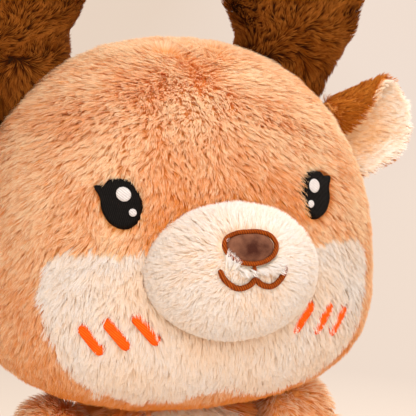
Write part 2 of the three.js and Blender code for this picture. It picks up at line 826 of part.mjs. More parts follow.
// A limb's group: its own Y axis runs along the limb and its Z axis stays as upright as it can
function limbGroup(place, along) {
  const upright = new THREE.Vector3(0, 0, 1);
  const across = new THREE.Vector3().crossVectors(along, upright).normalize();
  const top = new THREE.Vector3().crossVectors(across, along);
  const group = new THREE.Group();
  group.position.copy(place);
  group.quaternion.setFromRotationMatrix(new THREE.Matrix4().makeBasis(across, along, top));
  return group;
}

function shoulderPlace(side) {
  const guess = torsoHeight - shoulderDrop;
  const across = torsoHalfWidth * torsoShare(guess, 0) + rootReachShare * armRootRadius;
  const under = headUnderside(across, shoulderForward);
  const slope = (headUnderside(across + slopeStep, shoulderForward) - under) / slopeStep;
  const drop = (armRootRadius + headArmGap) * Math.sqrt(1 + slope * slope);
  return new THREE.Vector3(side * across, -shoulderForward, headHeight + under - drop);
}

function hipPlace(side) {
  const height = legFootRadius - floorFlat;
  const share = torsoShare(height, 0);
  const across = hipAcross / (torsoHalfWidth * share);
  const front = torsoHalfDepth * share * Math.sqrt(1 - across * across);
  return new THREE.Vector3(side * hipAcross, -front - rootReachShare * legRootRadius, height);
}

function buildArms(figure) {
  for (const [label, side] of sides) {
    const across = Math.sqrt(1 - armDownShare ** 2 - armForwardShare ** 2);
    const along = new THREE.Vector3(side * across, -armForwardShare, -armDownShare);
    const group = limbGroup(shoulderPlace(side), along);
    const pieces = limbPieces(arm);
    addPart(group, `arm_${label}_skin`, geometryOf(pieces.skin), brownPlush);
    addPart(group, `arm_${label}_hoof`, geometryOf(pieces.hoof), darkPlush);
    addPart(group, `arm_${label}_stuffing`, geometryOf(pieces.stuffing), filling);
    figure.add(group);
  }
}

// The leg's underside is pressed flat by the floor
function pressedFlat(solid) {
  const floor = -legFootRadius + floorFlat;
  const wide = 2 * legLength;
  const low = new THREE.Vector3(-wide, -wide, floor - overrun);
  const high = new THREE.Vector3(wide, wide, floor);
  return geometryOf(solid.subtract(solidOf(block(low, high))));
}

function buildLegs(figure) {
  for (const [label, side] of sides) {
    const along = new THREE.Vector3(side * Math.sin(legSpread), -Math.cos(legSpread), 0);
    const group = limbGroup(hipPlace(side), along);
    const pieces = limbPieces(leg);
    addPart(group, `leg_${label}_skin`, pressedFlat(pieces.skin), brownPlush);
    addPart(group, `leg_${label}_hoof`, pressedFlat(pieces.hoof), darkPlush);
    addPart(group, `leg_${label}_stuffing`, geometryOf(pieces.stuffing), filling);
    figure.add(group);
  }
}

// Torso: a skin with a neck that enters the head, a belly panel, pellets low down, stuffing above

function neckTop() {
  return headHeight - headChinDepth + neckDepth;
}

function rootSockets() {
  const sockets = sides.flatMap(([, side]) => [
    [shoulderPlace(side), armRootRadius],
    [hipPlace(side), legRootRadius],
  ]);
  return sockets.map(([place, radius]) => solidOf(socketBall(radius).translate(place.x, place.y, place.z)));
}

function bellyPrism(grow) {
  const count = 26;
  const points = Array.from({ length: count }, (_, at) => {
    const turn = (2 * Math.PI * at) / count;
    const across = Math.sign(Math.cos(turn)) * Math.abs(Math.cos(turn)) ** (2 / bellyRoundness);
    const up = Math.sign(Math.sin(turn)) * Math.abs(Math.sin(turn)) ** (2 / bellyRoundness);
    return new THREE.Vector2((bellyHalfWidth + grow) * across, (bellyHalfHeight + grow) * up);
  });
  const facing = new THREE.Matrix4().makeBasis(
    new THREE.Vector3(1, 0, 0),
    new THREE.Vector3(0, 0, 1),
    new THREE.Vector3(0, -1, 0),
  ).setPosition(0, 0, bellyHeight);
  return prism(points, facing, 0, torsoHalfDepth + overrun);
}

function tailGeometry(grow) {
  const rise = new THREE.Vector3(0, Math.cos(tailRise), Math.sin(tailRise));
  const back = torsoHalfDepth * torsoShare(tailHeight, 0);
  const from = new THREE.Vector3(0, back, tailHeight);
  const to = from.clone().addScaledVector(rise, tailLength - tailRadius);
  return taperedLimb(from, to, tailRootRadius + grow, tailRadius + grow, 14);
}

function buildTorso(figure) {
  const far = 2 * torsoHeight;
  const floor = block(new THREE.Vector3(-far, -far, -far), new THREE.Vector3(far, far, 0));
  const cut = [...rootSockets(), solidOf(floor)];
  const trimmed = (solid) => cut.reduce((left, piece) => left.subtract(piece), solid);
  const neck = (inset, top) => solidOf(rod(neckRadius - inset, torsoWidestHeight, top, neckSides));

  const outer = torsoSolid(0, torsoAround, torsoRings).add(neck(0, neckTop()));
  const lining = torsoSolid(bodySkin, liningAround, liningRings);
  const hollow = lining.add(neck(bodySkin, neckTop() + overrun));
  const skin = trimmed(outer.subtract(hollow));
  addPart(figure, 'torso_skin', geometryOf(skin.subtract(bellyPrism(seamGap))), brownPlush);
  addPart(figure, 'belly_panel', geometryOf(skin.intersect(bellyPrism(0))), creamPlush);

  const inset = bodySkin + seamGap;
  const filled = torsoSolid(inset, liningAround, liningRings);
  const inside = trimmed(filled.add(neck(inset, neckTop() - seamGap)));
  const lid = new THREE.Vector3(-far, -far, pelletBagHeight);
  const above = solidOf(block(lid, new THREE.Vector3(far, far, far)));
  lid.z += seamGap;
  const wellAbove = solidOf(block(lid, new THREE.Vector3(far, far, far)));
  addPart(figure, 'pellet_bag', geometryOf(inside.subtract(above)), pelletCloth);
  addPart(figure, 'torso_stuffing', geometryOf(inside.intersect(wellAbove)), filling);

  const grownTorso = torsoSolid(-seamGap, torsoAround, torsoRings);
  addPart(figure, 'tail', geometryOf(solidOf(tailGeometry(0)).subtract(grownTorso)), brownPlush);
}

const figure = new THREE.Group();
const head = new THREE.Group();
head.position.set(0, 0, headHeight);
figure.add(head);
buildHeadPanels(head);
buildEyes(head);
buildMuzzle(head);
buildAntlers(head);
buildEars(head);
buildTorso(figure);
buildArms(figure);
buildLegs(figure);

// The origin is the middle of the footprint, on the floor
const extent = new THREE.Box3().setFromObject(figure);
figure.position.y = -(extent.min.y + extent.max.y) / 2;

const group = new THREE.Group();
group.add(figure);

export default group;
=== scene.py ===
"""A seated plush deer: padded skins with a pile of mesh strands, and an embroidered face.

Lengths are in millimetres until a mesh is made. Points on the face are measured from the head's middle.
"""

import json
import math

import bmesh
import bpy
import numpy as np
from mathutils import Matrix, Vector
from mathutils.kdtree import KDTree


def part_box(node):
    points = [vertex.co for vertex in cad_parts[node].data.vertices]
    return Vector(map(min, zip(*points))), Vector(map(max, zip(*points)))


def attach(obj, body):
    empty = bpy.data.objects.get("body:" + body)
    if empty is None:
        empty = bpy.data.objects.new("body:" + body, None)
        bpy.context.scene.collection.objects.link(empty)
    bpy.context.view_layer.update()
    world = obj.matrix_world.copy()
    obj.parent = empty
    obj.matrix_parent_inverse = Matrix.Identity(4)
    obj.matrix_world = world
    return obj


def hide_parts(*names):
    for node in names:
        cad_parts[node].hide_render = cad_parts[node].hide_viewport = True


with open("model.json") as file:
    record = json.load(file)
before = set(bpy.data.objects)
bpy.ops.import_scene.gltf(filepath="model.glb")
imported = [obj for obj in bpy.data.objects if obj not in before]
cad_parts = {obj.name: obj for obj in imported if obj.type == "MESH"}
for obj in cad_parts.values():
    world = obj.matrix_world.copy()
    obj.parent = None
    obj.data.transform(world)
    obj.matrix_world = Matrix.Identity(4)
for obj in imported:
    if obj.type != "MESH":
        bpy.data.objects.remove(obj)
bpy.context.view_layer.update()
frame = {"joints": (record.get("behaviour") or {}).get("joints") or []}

MM = 0.001
SIDES = (("left", 1), ("right", -1))

# The CAD model's own shapes, repeated
HEAD_HALF_WIDTH = 105
HEAD_HALF_DEPTH = 96
HEAD_CROWN = 121
HEAD_CHIN = 63
HEAD_SEAM_BACK = 12
HEAD_PLAN = 2.22
HEAD_SIDE = 2.25
HEAD_CHIN_SIDE = 2.6
MUZZLE_MIDDLE = (0, -88, 21)
MUZZLE_HALF = (43, 37, 33)
MASK_HALF_WIDTH = 85
MASK_TOP = 27
MASK_CHIN = 47
MASK_REACH = 20
FRINGE_SHARES = ((0.53, -0.97), (0.34, -1.02), (0.18, -0.94), (0, -0.85))
MASK_SHARES = (
    (0, 1), (0.5, 1), (0.8, 1), (0.93, 0.9), (1, 0.45), (0.99, 0.02), (0.95, -0.27), (0.9, -0.5),
    (0.8, -0.71), (0.68, -0.85), (0.53, -0.94), (0.37, -0.99), (0, -1),
)
TORSO_HALF_WIDTH = 64
TORSO_HALF_DEPTH = 57
TORSO_HEIGHT = 145
TORSO_WIDEST = 50
TORSO_BASE_ROUND = 3
TORSO_TOP_ROUND = 2.6
NECK_RADIUS = 36
BELLY_HALF_WIDTH = 43
BELLY_HALF_HEIGHT = 50.5
BELLY_HEIGHT = 84
BELLY_ROUND = 3
TAIL_LENGTH = 34
TAIL_ROOT_RADIUS = 10
TAIL_RADIUS = 13
TAIL_HEIGHT = 46
TAIL_RISE = 0.55
EAR_LENGTH = 43
EAR_HALF_WIDTH = 24
EAR_ROOT_HALF_WIDTH = 28
EAR_FOLD_ROOT_WIDTH = 38
EAR_FOLD_TIP_WIDTH = 22
EAR_FOLD_FLAT = 0.3
EAR_FOLD_BEND = 0.45
EAR_FOLD_TURN = 3.1
EAR_LAYER = 4.5
EAR_UP = 68
EAR_TILT = 0.42
EAR_ROOT_PROUD = 5.5
EAR_LOWER_CURL = 0.9
EAR_TIP_CURL = 0.35
EAR_LEAF_ROUND = 2.2
EAR_LEAST_BULGE = 0.02
EAR_ROOT_FADE = 1.7
EAR_FOLD_FADE = 1.3
EAR_EDGE_THIN = 0.45
ANTLER_BACK = 30
ANTLER_FLATNESS = 0.8
ANTLER_LIMBS = (
    ((64, 79), (77, 121), 20, 30.5),
    ((73, 136), (50, 160), 31, 21),
    ((93.5, 128.5), (109, 169), 21.5, 18),
)
LIMBS = {
    "arm": {"root": 23, "waist": 17.8, "end": 23, "length": 84, "hoof": 27},
    "leg": {"root": 24, "waist": 21.5, "end": 28.5, "length": 84, "hoof": 27},
}
LIMB_TIP_ROUND = 2.4
ARM_DOWN = 0.71
ARM_FORWARD = 0.2
LEG_SPREAD = 0.2

# Embroidery
EYE_ACROSS = 49
EYE_UP = 53
EYE_HALF_WIDTH = 10.6
EYE_HALF_HEIGHT = 12
EYE_SHARES = (
    (-0.1, 1), (-0.55, 0.9), (-0.88, 0.5), (-1, 0), (-0.85, -0.55), (-0.45, -0.92), (0.05, -1),
    (0.55, -0.78), (0.86, -0.3), (0.9, 0.2), (1.12, 0.68), (0.7, 0.72), (0.4, 0.94),
)
GLINTS = (("large", 3.3, -1.9, 4.0), ("small", 1.8, -5.2, -3.9))
STROKE_HALF_LENGTH = 9.8
STROKE_HALF_WIDTH = 2.8
STROKE_TURN = 0.87
STROKE_SPOTS = ((62.8, -10.8), (52, -7.4), (39.2, -4.6))
NOSE_UP = 17.5
NOSE_HALF_WIDTH = 13.4
NOSE_HALF_HEIGHT = 9.2
NOSE_SHARES = (
    (-1, 0.15), (-0.84, 0.66), (-0.42, 0.95), (0, 1), (0.42, 0.95), (0.84, 0.66), (1, 0.15),
    (0.88, -0.42), (0.5, -0.85), (0, -1), (-0.5, -0.85), (-0.88, -0.42),
)
NOSE_BORDER = 2.4
MOUTH_UP = 5
MOUTH_HALF_WIDTH = 15.8
MOUTH_RISE = 4.4
MOUTH_SHARES = ((1, 0.95), (0.87, -0.1), (0.52, -1), (0.2, -0.75), (0, -0.1))
MOUTH_LINE = 2.6
PHILTRUM_TOP = 6

# How far the stitches stand out from where they are sewn, and how deep a patch's edge goes
NOSE_PROUD = 4.6
BORDER_PROUD = 3.7
MOUTH_PROUD = 3.2
STEM_PROUD = 2.9
EYE_PROUD = 2.4
EYE_RIM = 0.7
STROKE_PROUD = 2.2
GLINT_LIFT = 2.2
GLINT_PROUD = 0.9
PATCH_DEPTH = 2.5

# How far the cloth lies inside the CAD model's faces, to leave room for the pile
PILE = 6
LIMB_PILE = 5.5
SHORT_PILE = 4.5
ANTLER_PILE = 3.4
EAR_PILE = 2.8

# How far the cream's roots stop short of the mask's lower edge, and pass its upper one
FRINGE = 4
MASK_TOP_LAP = 3.5

# The cloth that rests on the floor: its height, how far up it gives, and what stays bare of strands
SEAT = 0.8
SETTLE_REACH = 18
FLOOR_BARE = 3
FLOOR_CLEAR = 0.6

# How deep the face's patches are sewn in, and how the pile's gaps for them are moved and narrowed
STITCH_SUNK = 4
EYE_LAPS = {"left": (3.2, -1.0), "right": (-0.6, -1.6)}
STROKE_LAPS = {
    "left": ((1.1, 1.6), (1.0, 1.6), (1.2, 2.2)), "right": ((-0.4, -0.5), (-0.3, -0.4), (-1.0, -1.6)),
}
STROKE_CLOSE = {"left": 1.7, "right": 0.8}

# Spots on the head: where the pile's whorl is, where painted light makes it paler, and where it is darker
WHORL = (4, -24, 118)
CROWN = (4, -40, 88)
BRIDGE = (0, -94, 62)

# The camera, measured from the head's middle
CAMERA_PLACE = (-206.4, -649.0, 166.4)
CAMERA_AZIMUTH = math.radians(-19.3)
CAMERA_ELEVATION = math.radians(11.04)
CAMERA_ROLL = math.radians(1.04)
CAMERA_FOV = math.radians(17.58)


def in_mm(corner):
    return np.array(corner, float) / MM


head_low = np.minimum(in_mm(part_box("head_front_panel")[0]), in_mm(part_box("head_back_panel")[0]))
head_high = np.maximum(in_mm(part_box("head_front_panel")[1]), in_mm(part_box("head_back_panel")[1]))
HEAD = np.array((0, (head_low[1] + head_high[1]) / 2, head_high[2] - HEAD_CROWN))
SHIFT = np.array((0, HEAD[1], 0))


# Small numeric helpers


def unit(rows):
    return rows / np.maximum(np.linalg.norm(rows, axis=-1, keepdims=True), 1e-9)


def waves(points, wavelength, seed, count=7):
    """Smooth noise, about -1 to 1, from sine waves in seeded directions."""
    rng = np.random.default_rng(seed)
    way = unit(rng.normal(size=(count, 3)))
    pitch = 2 * np.pi / (wavelength * rng.uniform(0.7, 1.4, count))
    phase = rng.uniform(0, 2 * np.pi, count)
    return np.sin(points @ (way * pitch[:, None]).T + phase).mean(1) * 1.9


def catmull(points, steps, closed):
    """A smooth line through the points, centripetal, with steps pieces to each span."""
    points = np.array(points, float)
    if closed:
        padded = np.concatenate([points[-1:], points, points[:2]])
    else:
        padded = np.concatenate([2 * points[:1] - points[1:2], points, 2 * points[-1:] - points[-2:-1]])
    line = []
    for at in range(len(padded) - 3):
        four = padded[at:at + 4]
        gaps = np.maximum(np.linalg.norm(np.diff(four, axis=0), axis=1), 1e-6) ** 0.5
        knots = np.concatenate([[0], np.cumsum(gaps)])[:, None]
        for t in knots[1] + (knots[2] - knots[1]) * np.arange(steps) / steps:
            level = four
            for low, high in ((knots[:3], knots[1:]), (knots[:2], knots[2:]), (knots[1], knots[2])):
                level = ((high - t) * level[:-1] + (t - low) * level[1:]) / (high - low)
            line.append(level[0])
    if not closed:
        line.append(points[-1])
    return np.array(line)


def inside(outline, across, up):
    """Which of the points lie in a closed outline of the (x, z) plane."""
    found = np.zeros(len(across), bool)
    for (x1, z1), (x2, z2) in zip(outline, np.roll(outline, -1, axis=0)):
        if z1 == z2:
            continue
        crosses = (z1 > up) != (z2 > up)
        found ^= crosses & (across < (x2 - x1) * (up - z1) / (z2 - z1) + x1)
    return found


def grown(outline, by):
    """The outline moved outwards."""
    after = np.roll(outline, -1, axis=0)
    before = np.roll(outline, 1, axis=0)
    along = unit(after - before)
    area = np.sum(outline[:, 0] * after[:, 1] - after[:, 0] * outline[:, 1])
    side = np.stack([along[:, 1], -along[:, 0]], 1) * (1 if area > 0 else -1)
    return outline + by * side


def fade(values, start, span, least=0):
    """Rises evenly from 0 at start to 1 a span further on, but is never under the least value."""
    return np.clip((values - start) / span, least, 1)


def bell(values, width):
    return np.exp(-((values / width) ** 2))


def middles(form):
    return form["verts"][form["tris"]].mean(1)


# Forms: a closed surface as corners, triangles and corner normals


def form_of(verts, tris):
    verts = np.array(verts, float)
    tris = np.array(tris, int)
    a, b, c = verts[tris[:, 0]], verts[tris[:, 1]], verts[tris[:, 2]]
    facing = np.cross(b - a, c - a)
    normals = np.zeros_like(verts)
    for corner in range(3):
        np.add.at(normals, tris[:, corner], facing)
    return {"verts": verts, "tris": tris, "normals": unit(normals)}


def ball_ways(detail):
    bm = bmesh.new()
    bmesh.ops.create_icosphere(bm, subdivisions=detail, radius=1)
    verts = np.array([v.co[:] for v in bm.verts])
    tris = np.array([[v.index for v in f.verts] for f in bm.faces])
    bm.free()
    return unit(verts), tris


def head_curve(up, inset):
    """The head's height and its roundness, above or below its widest level."""
    tall = np.where(up > 0, HEAD_CROWN, HEAD_CHIN) - inset
    return tall, np.where(up > 0, HEAD_SIDE, HEAD_CHIN_SIDE)


def head_level(points, inset):
    tall, roundness = head_curve(points[:, 2], inset)
    across = (np.abs(points[:, 0]) / (HEAD_HALF_WIDTH - inset)) ** HEAD_PLAN
    deep = (np.abs(points[:, 1]) / (HEAD_HALF_DEPTH - inset)) ** HEAD_PLAN
    return (across + deep) ** (roundness / HEAD_PLAN) + (np.abs(points[:, 2]) / tall) ** roundness


def head_form(inset, detail):
    ways, tris = ball_ways(detail)
    _, roundness = head_curve(ways[:, 2], inset)
    reach = head_level(ways, inset) ** (-1 / roundness)
    return form_of(ways * reach[:, None] + HEAD, tris)


def muzzle_level(points, inset):
    half = np.array(MUZZLE_HALF) - inset
    return np.sum(((points - np.array(MUZZLE_MIDDLE)) / half) ** 2, axis=1)


def muzzle_form(inset, detail):
    ways, tris = ball_ways(detail)
    half = np.array(MUZZLE_HALF) - inset
    return form_of(ways * half + np.array(MUZZLE_MIDDLE) + HEAD, tris)


def band(low, high, count, turned=False):
    """Two triangles for each quad between two closed rings of corners, which start at low and high."""
    tris = []
    for k in range(count):
        n = (k + 1) % count
        if turned:
            tris += [(low + k, high + k, high + n), (low + k, high + n, low + n)]
        else:
            tris += [(low + k, low + n, high + n), (low + k, high + n, high + k)]
    return tris


def lathe(profile, around):
    """A round body from (radius, height) pairs; the first and the last lie on the axis."""
    turns = np.linspace(0, 2 * np.pi, around, endpoint=False)
    verts = [(0, 0, profile[0][1])]
    for radius, height in profile[1:-1]:
        verts += [(radius * math.cos(t), radius * math.sin(t), height) for t in turns]
    verts.append((0, 0, profile[-1][1]))
    tris = [(0, 1 + (k + 1) % around, 1 + k) for k in range(around)]
    for ring in range(len(profile) - 3):
        tris += band(1 + ring * around, 1 + (ring + 1) * around, around)
    last = len(verts) - 1
    low = last - around
    tris += [(low + k, low + (k + 1) % around, last) for k in range(around)]
    return np.array(verts, float), np.array(tris)


def settled(verts):
    """The lower part sinks until the cloth lies on the floor, where the pile is squashed flat."""
    lowest = verts[:, 2].min()
    share = np.clip(1 - (verts[:, 2] - lowest) / SETTLE_REACH, 0, 1)
    verts[:, 2] -= (lowest - SEAT) * share
    return verts


def torso_form(inset, around, rings):
    profile = []
    for step in range(rings + 1):
        turn = -math.pi / 2 + math.pi * step / rings
        reach = TORSO_WIDEST if turn < 0 else TORSO_HEIGHT - TORSO_WIDEST
        roundness = TORSO_BASE_ROUND if turn < 0 else TORSO_TOP_ROUND
        wide = abs(math.cos(turn)) ** (2 / roundness)
        tall = math.copysign(abs(math.sin(turn)) ** (2 / roundness), turn)
        profile.append((wide, TORSO_WIDEST + (reach - inset) * tall))
    verts, tris = lathe(profile, around)
    verts[:, 0] *= TORSO_HALF_WIDTH - inset
    verts[:, 1] *= TORSO_HALF_DEPTH - inset
    return form_of(settled(verts + SHIFT), tris)


def limb_radius(limb, along, inset):
    ball_end = math.sqrt(limb["root"] ** 2 - limb["waist"] ** 2)
    if along <= ball_end:
        return math.sqrt(max(0, (limb["root"] - inset) ** 2 - along**2))
    swell_end = limb["length"] - limb["end"]
    swell = min(1, (along - ball_end) / (swell_end - ball_end))
    body = limb["waist"] + (limb["end"] - limb["waist"]) * math.sin(math.pi / 2 * swell)
    if along <= swell_end:
        return body - inset
    tip = min(1, (along - swell_end) / (limb["end"] - inset))
    return (limb["end"] - inset) * (1 - tip**LIMB_TIP_ROUND) ** (1 / LIMB_TIP_ROUND)


def limb_axes(side, kind):
    if kind == "arm":
        across = math.sqrt(1 - ARM_DOWN**2 - ARM_FORWARD**2)
        along = np.array((side * across, -ARM_FORWARD, -ARM_DOWN))
    else:
        along = np.array((side * math.sin(LEG_SPREAD), -math.cos(LEG_SPREAD), 0))
    cross = unit(np.cross(along, (0, 0, 1)))
    return cross, along, np.cross(cross, along)


def limb_joint(label, kind):
    name = f"{kind}_{label}_{'swing' if kind == 'arm' else 'lift'}"
    found = next(joint for joint in frame["joints"] if joint["name"] == name)
    return np.array(found["pos_m"]) / MM


def limb_form(label, side, kind, inset, around=40, rings=44):
    limb = LIMBS[kind]
    low = inset - limb["root"]
    reach = limb["length"] - inset - low
    profile = []
    for step in range(rings + 1):
        along = low + reach / 2 * (1 - math.cos(math.pi * step / rings))
        profile.append((limb_radius(limb, along, inset), along))
    verts, tris = lathe(profile, around)
    cross, along, top = limb_axes(side, kind)
    turned = verts[:, :1] * cross + verts[:, 2:] * along - verts[:, 1:2] * top + limb_joint(label, kind)
    return form_of(settled(turned) if kind == "leg" else turned, tris)


def capsule(start, end, start_radius, end_radius, around=28, caps=7):
    start, end = np.array(start, float), np.array(end, float)
    length = np.linalg.norm(end - start)
    lean = math.asin((start_radius - end_radius) / length)
    profile = []
    for radius, base, low, high in (
        (start_radius, 0, -math.pi / 2, lean), (end_radius, length, lean, math.pi / 2)
    ):
        for step in range(caps + 1):
            turn = low + (high - low) * step / caps
            profile.append((radius * math.cos(turn), base + radius * math.sin(turn)))
    verts, tris = lathe(profile, around)
    turn = Vector((0, 0, 1)).rotation_difference(Vector(end - start)).to_matrix()
    return verts @ np.array(turn).T + start, tris


def ear_axes(side):
    along = np.array((side * math.cos(EAR_TILT), 0, math.sin(EAR_TILT)))
    up = np.array((-side * math.sin(EAR_TILT), 0, math.cos(EAR_TILT)))
    return along, up, np.array((0, -1, 0))


def bent_sheet(run, flat, bend, turn):
    """A sheet that runs flat, bends evenly and runs on straight: its height, its reach and its slope."""
    bent = min(max(0, run - flat), bend)
    rest = max(0, run - flat - bend)
    slope = turn * bent / bend
    radius = bend / turn
    height = min(run, flat) + radius * math.sin(slope) + rest * math.cos(slope)
    return height, radius * (1 - math.cos(slope)) + rest * math.sin(slope), slope


def ear_place(side):
    """Where an ear's root seam lies on the side of the head."""
    ring = (1 - (EAR_UP / HEAD_CROWN) ** HEAD_SIDE) ** (HEAD_PLAN / HEAD_SIDE)
    across = HEAD_HALF_WIDTH * (ring - (HEAD_SEAM_BACK / HEAD_HALF_DEPTH) ** HEAD_PLAN) ** (1 / HEAD_PLAN)
    return np.array((side * (across + EAR_ROOT_PROUD), HEAD_SEAM_BACK, EAR_UP)) + HEAD


def ear_sheet(side, near, far, stations=30, half_count=24):
    """A layer of an ear as a closed loft; also each corner's place along it, across it and off it."""
    place = ear_place(side)
    along, up, front = ear_axes(side)
    verts, marks = [], []
    shares = [k / half_count - 1 for k in range(2 * half_count + 1)]
    for station in range(stations + 1):
        share = station / stations
        bulge = math.sqrt(max(EAR_LEAST_BULGE, 1 - (2 * max(share, 0.5) - 1) ** EAR_LEAF_ROUND))
        rootward = 1 - share**EAR_ROOT_FADE
        upper = bulge * (EAR_FOLD_ROOT_WIDTH + (EAR_FOLD_TIP_WIDTH - EAR_FOLD_ROOT_WIDTH) * share)
        lower = bulge * (EAR_HALF_WIDTH + (EAR_ROOT_HALF_WIDTH - EAR_HALF_WIDTH) * rootward)
        turn = EAR_TIP_CURL + (EAR_FOLD_TURN - EAR_TIP_CURL) * (1 - share**EAR_FOLD_FADE)
        curl = EAR_TIP_CURL + (EAR_LOWER_CURL - EAR_TIP_CURL) * rootward
        flat, bend = EAR_FOLD_FLAT * upper, EAR_FOLD_BEND * upper
        for q, off in [(q, near) for q in shares] + [(q, far) for q in reversed(shares)]:
            if q > 0:
                height, reach, slope = bent_sheet(q * upper, flat, bend, turn)
            else:
                height, reach, slope = bent_sheet(-q * lower, 0, lower, curl)
            thin = off * (1 - EAR_EDGE_THIN * abs(q) ** 4)
            rise = math.copysign(1, q) * (height - thin * math.sin(slope))
            spot = share * EAR_LENGTH * along + rise * up + (reach + thin * math.cos(slope)) * front
            verts.append(place + spot)
            marks.append((share, q, off))
    count = 2 * len(shares)
    tris = []
    for station in range(stations):
        tris += band(station * count, (station + 1) * count, count)
    for station, flip in ((0, True), (stations, False)):
        hub = len(verts)
        verts.append(np.mean(verts[station * count:station * count + count], axis=0))
        marks.append((station / stations, 0, (near + far) / 2))
        for k in range(count):
            here, n = station * count + k, station * count + (k + 1) % count
            tris.append((hub, n, here) if flip else (hub, here, n))
    tris = np.array(tris)
    return form_of(verts, tris[:, ::-1] if side < 0 else tris), np.array(marks)


# Blender objects


def new_object(name, verts, tris, material):
    """A smooth mesh object from corners in millimetres."""
    mesh = bpy.data.meshes.new(name)
    mesh.vertices.add(len(verts))
    mesh.vertices.foreach_set("co", (np.asarray(verts, np.float32) * MM).ravel())
    mesh.loops.add(3 * len(tris))
    mesh.loops.foreach_set("vertex_index", np.asarray(tris, np.int32).ravel())
    mesh.polygons.add(len(tris))
    mesh.polygons.foreach_set("loop_start", np.arange(0, 3 * len(tris), 3, dtype=np.int32))
    mesh.update(calc_edges=True)
    mesh.polygons.foreach_set("use_smooth", np.ones(len(tris), bool))
    mesh.materials.append(material)
    mesh.validate()
    thing = bpy.data.objects.new(name, mesh)
    bpy.context.scene.collection.objects.link(thing)
    return thing


def dress(thing, body, nodes=()):
    """Hides the CAD pieces that an object stands for, and puts it on the body that it rides on."""
    if nodes:
        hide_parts(*nodes)
    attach(thing, body)


def skin_piece(name, form, faces, material, body, nodes):
    """The padded cloth under the pile, from some of a form's faces."""
    tris = form["tris"] if faces is None else form["tris"][faces]
    used, at = np.unique(tris, return_inverse=True)
    thing = new_object(name, form["verts"][used], at.reshape(-1, 3), material)
    dress(thing, body, nodes)


# Materials


def feed(tree, node, inputs):
    """Sets a node's inputs, each to a value or to the socket that feeds it."""
    for name, value in inputs.items():
        if isinstance(value, bpy.types.NodeSocket):
            tree.links.new(value, node.inputs[name])
        else:
            node.inputs[name].default_value = value


def add_node(tree, kind, inputs=None, **settings):
    node = tree.nodes.new(f"ShaderNode{kind}")
    for name, value in settings.items():
        setattr(node, name, value)
    feed(tree, node, inputs or {})
    return node


def worked_out(tree, operation, *values):
    return add_node(tree, "Math", dict(enumerate(values)), operation=operation).outputs["Value"]


def ranged(tree, value, low, high, new_low=0, new_high=1):
    inputs = {"Value": value, "From Min": low, "From Max": high, "To Min": new_low, "To Max": new_high}
    return add_node(tree, "MapRange", inputs).outputs["Result"]


def mixed(tree, share, low, high):
    """A colour between two, each given as red, green and blue or as a socket."""
    ends = [end if isinstance(end, bpy.types.NodeSocket) else (*end, 1) for end in (low, high)]
    inputs = {"Factor": share, "A": ends[0], "B": ends[1]}
    return add_node(tree, "Mix", inputs, data_type="RGBA").outputs["Result"]


def bumped(tree, shader, height, strength, distance):
    bump = add_node(tree, "Bump", {"Height": height, "Strength": strength, "Distance": distance})
    feed(tree, shader, {"Normal": bump.outputs["Normal"]})


def blended(tree, share, first, second, output):
    """Sends a blend of two shaders to the output node."""
    blend = add_node(tree, "MixShader", {"Fac": share, 1: first, 2: second})
    feed(tree, tree.nodes[output], {"Surface": blend.outputs["Shader"]})


def fresh_material(name, roughness, specular):
    material = bpy.data.materials.new(name)
    material.use_nodes = True
    tree = material.node_tree
    shader = tree.nodes["Principled BSDF"]
    feed(tree, shader, {"Roughness": roughness, "Specular IOR Level": specular})
    return material, tree, shader


def pile_material(name, dark_root, dark_tip, pale_root, pale_tip, glow=0.5):
    """Strands: U picks a tone from dark to pale, V runs from root to tip. glow is the light let through."""
    material, tree, shader = fresh_material(name, 0.8, 0.06)
    spot = add_node(tree, "UVMap", uv_map="OFBake")
    split = add_node(tree, "SeparateXYZ", {"Vector": spot.outputs["UV"]})
    tones = []
    for root, tip in ((dark_root, dark_tip), (pale_root, pale_tip)):
        ramp = add_node(tree, "ValToRGB", {"Fac": split.outputs["Y"]})
        ramp.color_ramp.interpolation = "EASE"
        for end, (position, color) in enumerate(((0.15, root), (0.9, tip))):
            ramp.color_ramp.elements[end].position = position
            ramp.color_ramp.elements[end].color = (*color, 1)
        tones.append(ramp.outputs["Color"])
    color = mixed(tree, split.outputs["X"], *tones)
    feed(tree, shader, {"Base Color": color})
    through = add_node(tree, "BsdfTranslucent", {"Color": color})
    blended(tree, glow, shader.outputs["BSDF"], through.outputs["BSDF"], "Material Output")
    return material


def backing_material(name, low, high):
    """Knitted backing under the pile: fine loops and a slow change of colour."""
    material, tree, shader = fresh_material(name, 0.95, 0.1)
    place = add_node(tree, "TexCoord").outputs["Object"]
    noise = add_node(tree, "TexNoise", {"Vector": place, "Scale": 60, "Detail": 3})
    feed(tree, shader, {"Base Color": mixed(tree, noise.outputs["Fac"], low, high)})
    loops = add_node(tree, "TexVoronoi", {"Vector": place, "Scale": 900})
    bumped(tree, shader, loops.outputs["Distance"], 0.5, 0.0004)
    return material


def satin_material(name, low, high, pitch, roughness, turn):
    """Satin stitch: threads lie side by side at a pitch in millimetres, turned in the face's plane."""
    material, tree, shader = fresh_material(name, roughness, 0.08)
    place = add_node(tree, "TexCoord").outputs["Object"]
    turned = add_node(tree, "Mapping", {"Vector": place, "Rotation": (0, turn, 0)}).outputs["Vector"]
    bands = {"Vector": turned, "Scale": 1000 / pitch / 20 * math.pi, "Distortion": 0.6, "Detail": 1}
    threads = add_node(tree, "TexWave", bands, bands_direction="X").outputs["Fac"]
    noise = add_node(tree, "TexNoise", {"Vector": place, "Scale": 400}).outputs["Fac"]
    shade = worked_out(tree, "MULTIPLY", worked_out(tree, "MULTIPLY", threads, noise), 1.7)
    feed(tree, shader, {"Base Color": mixed(tree, shade, low, high)})
    bumped(tree, shader, threads, 0.7, 0.00025)
    return material


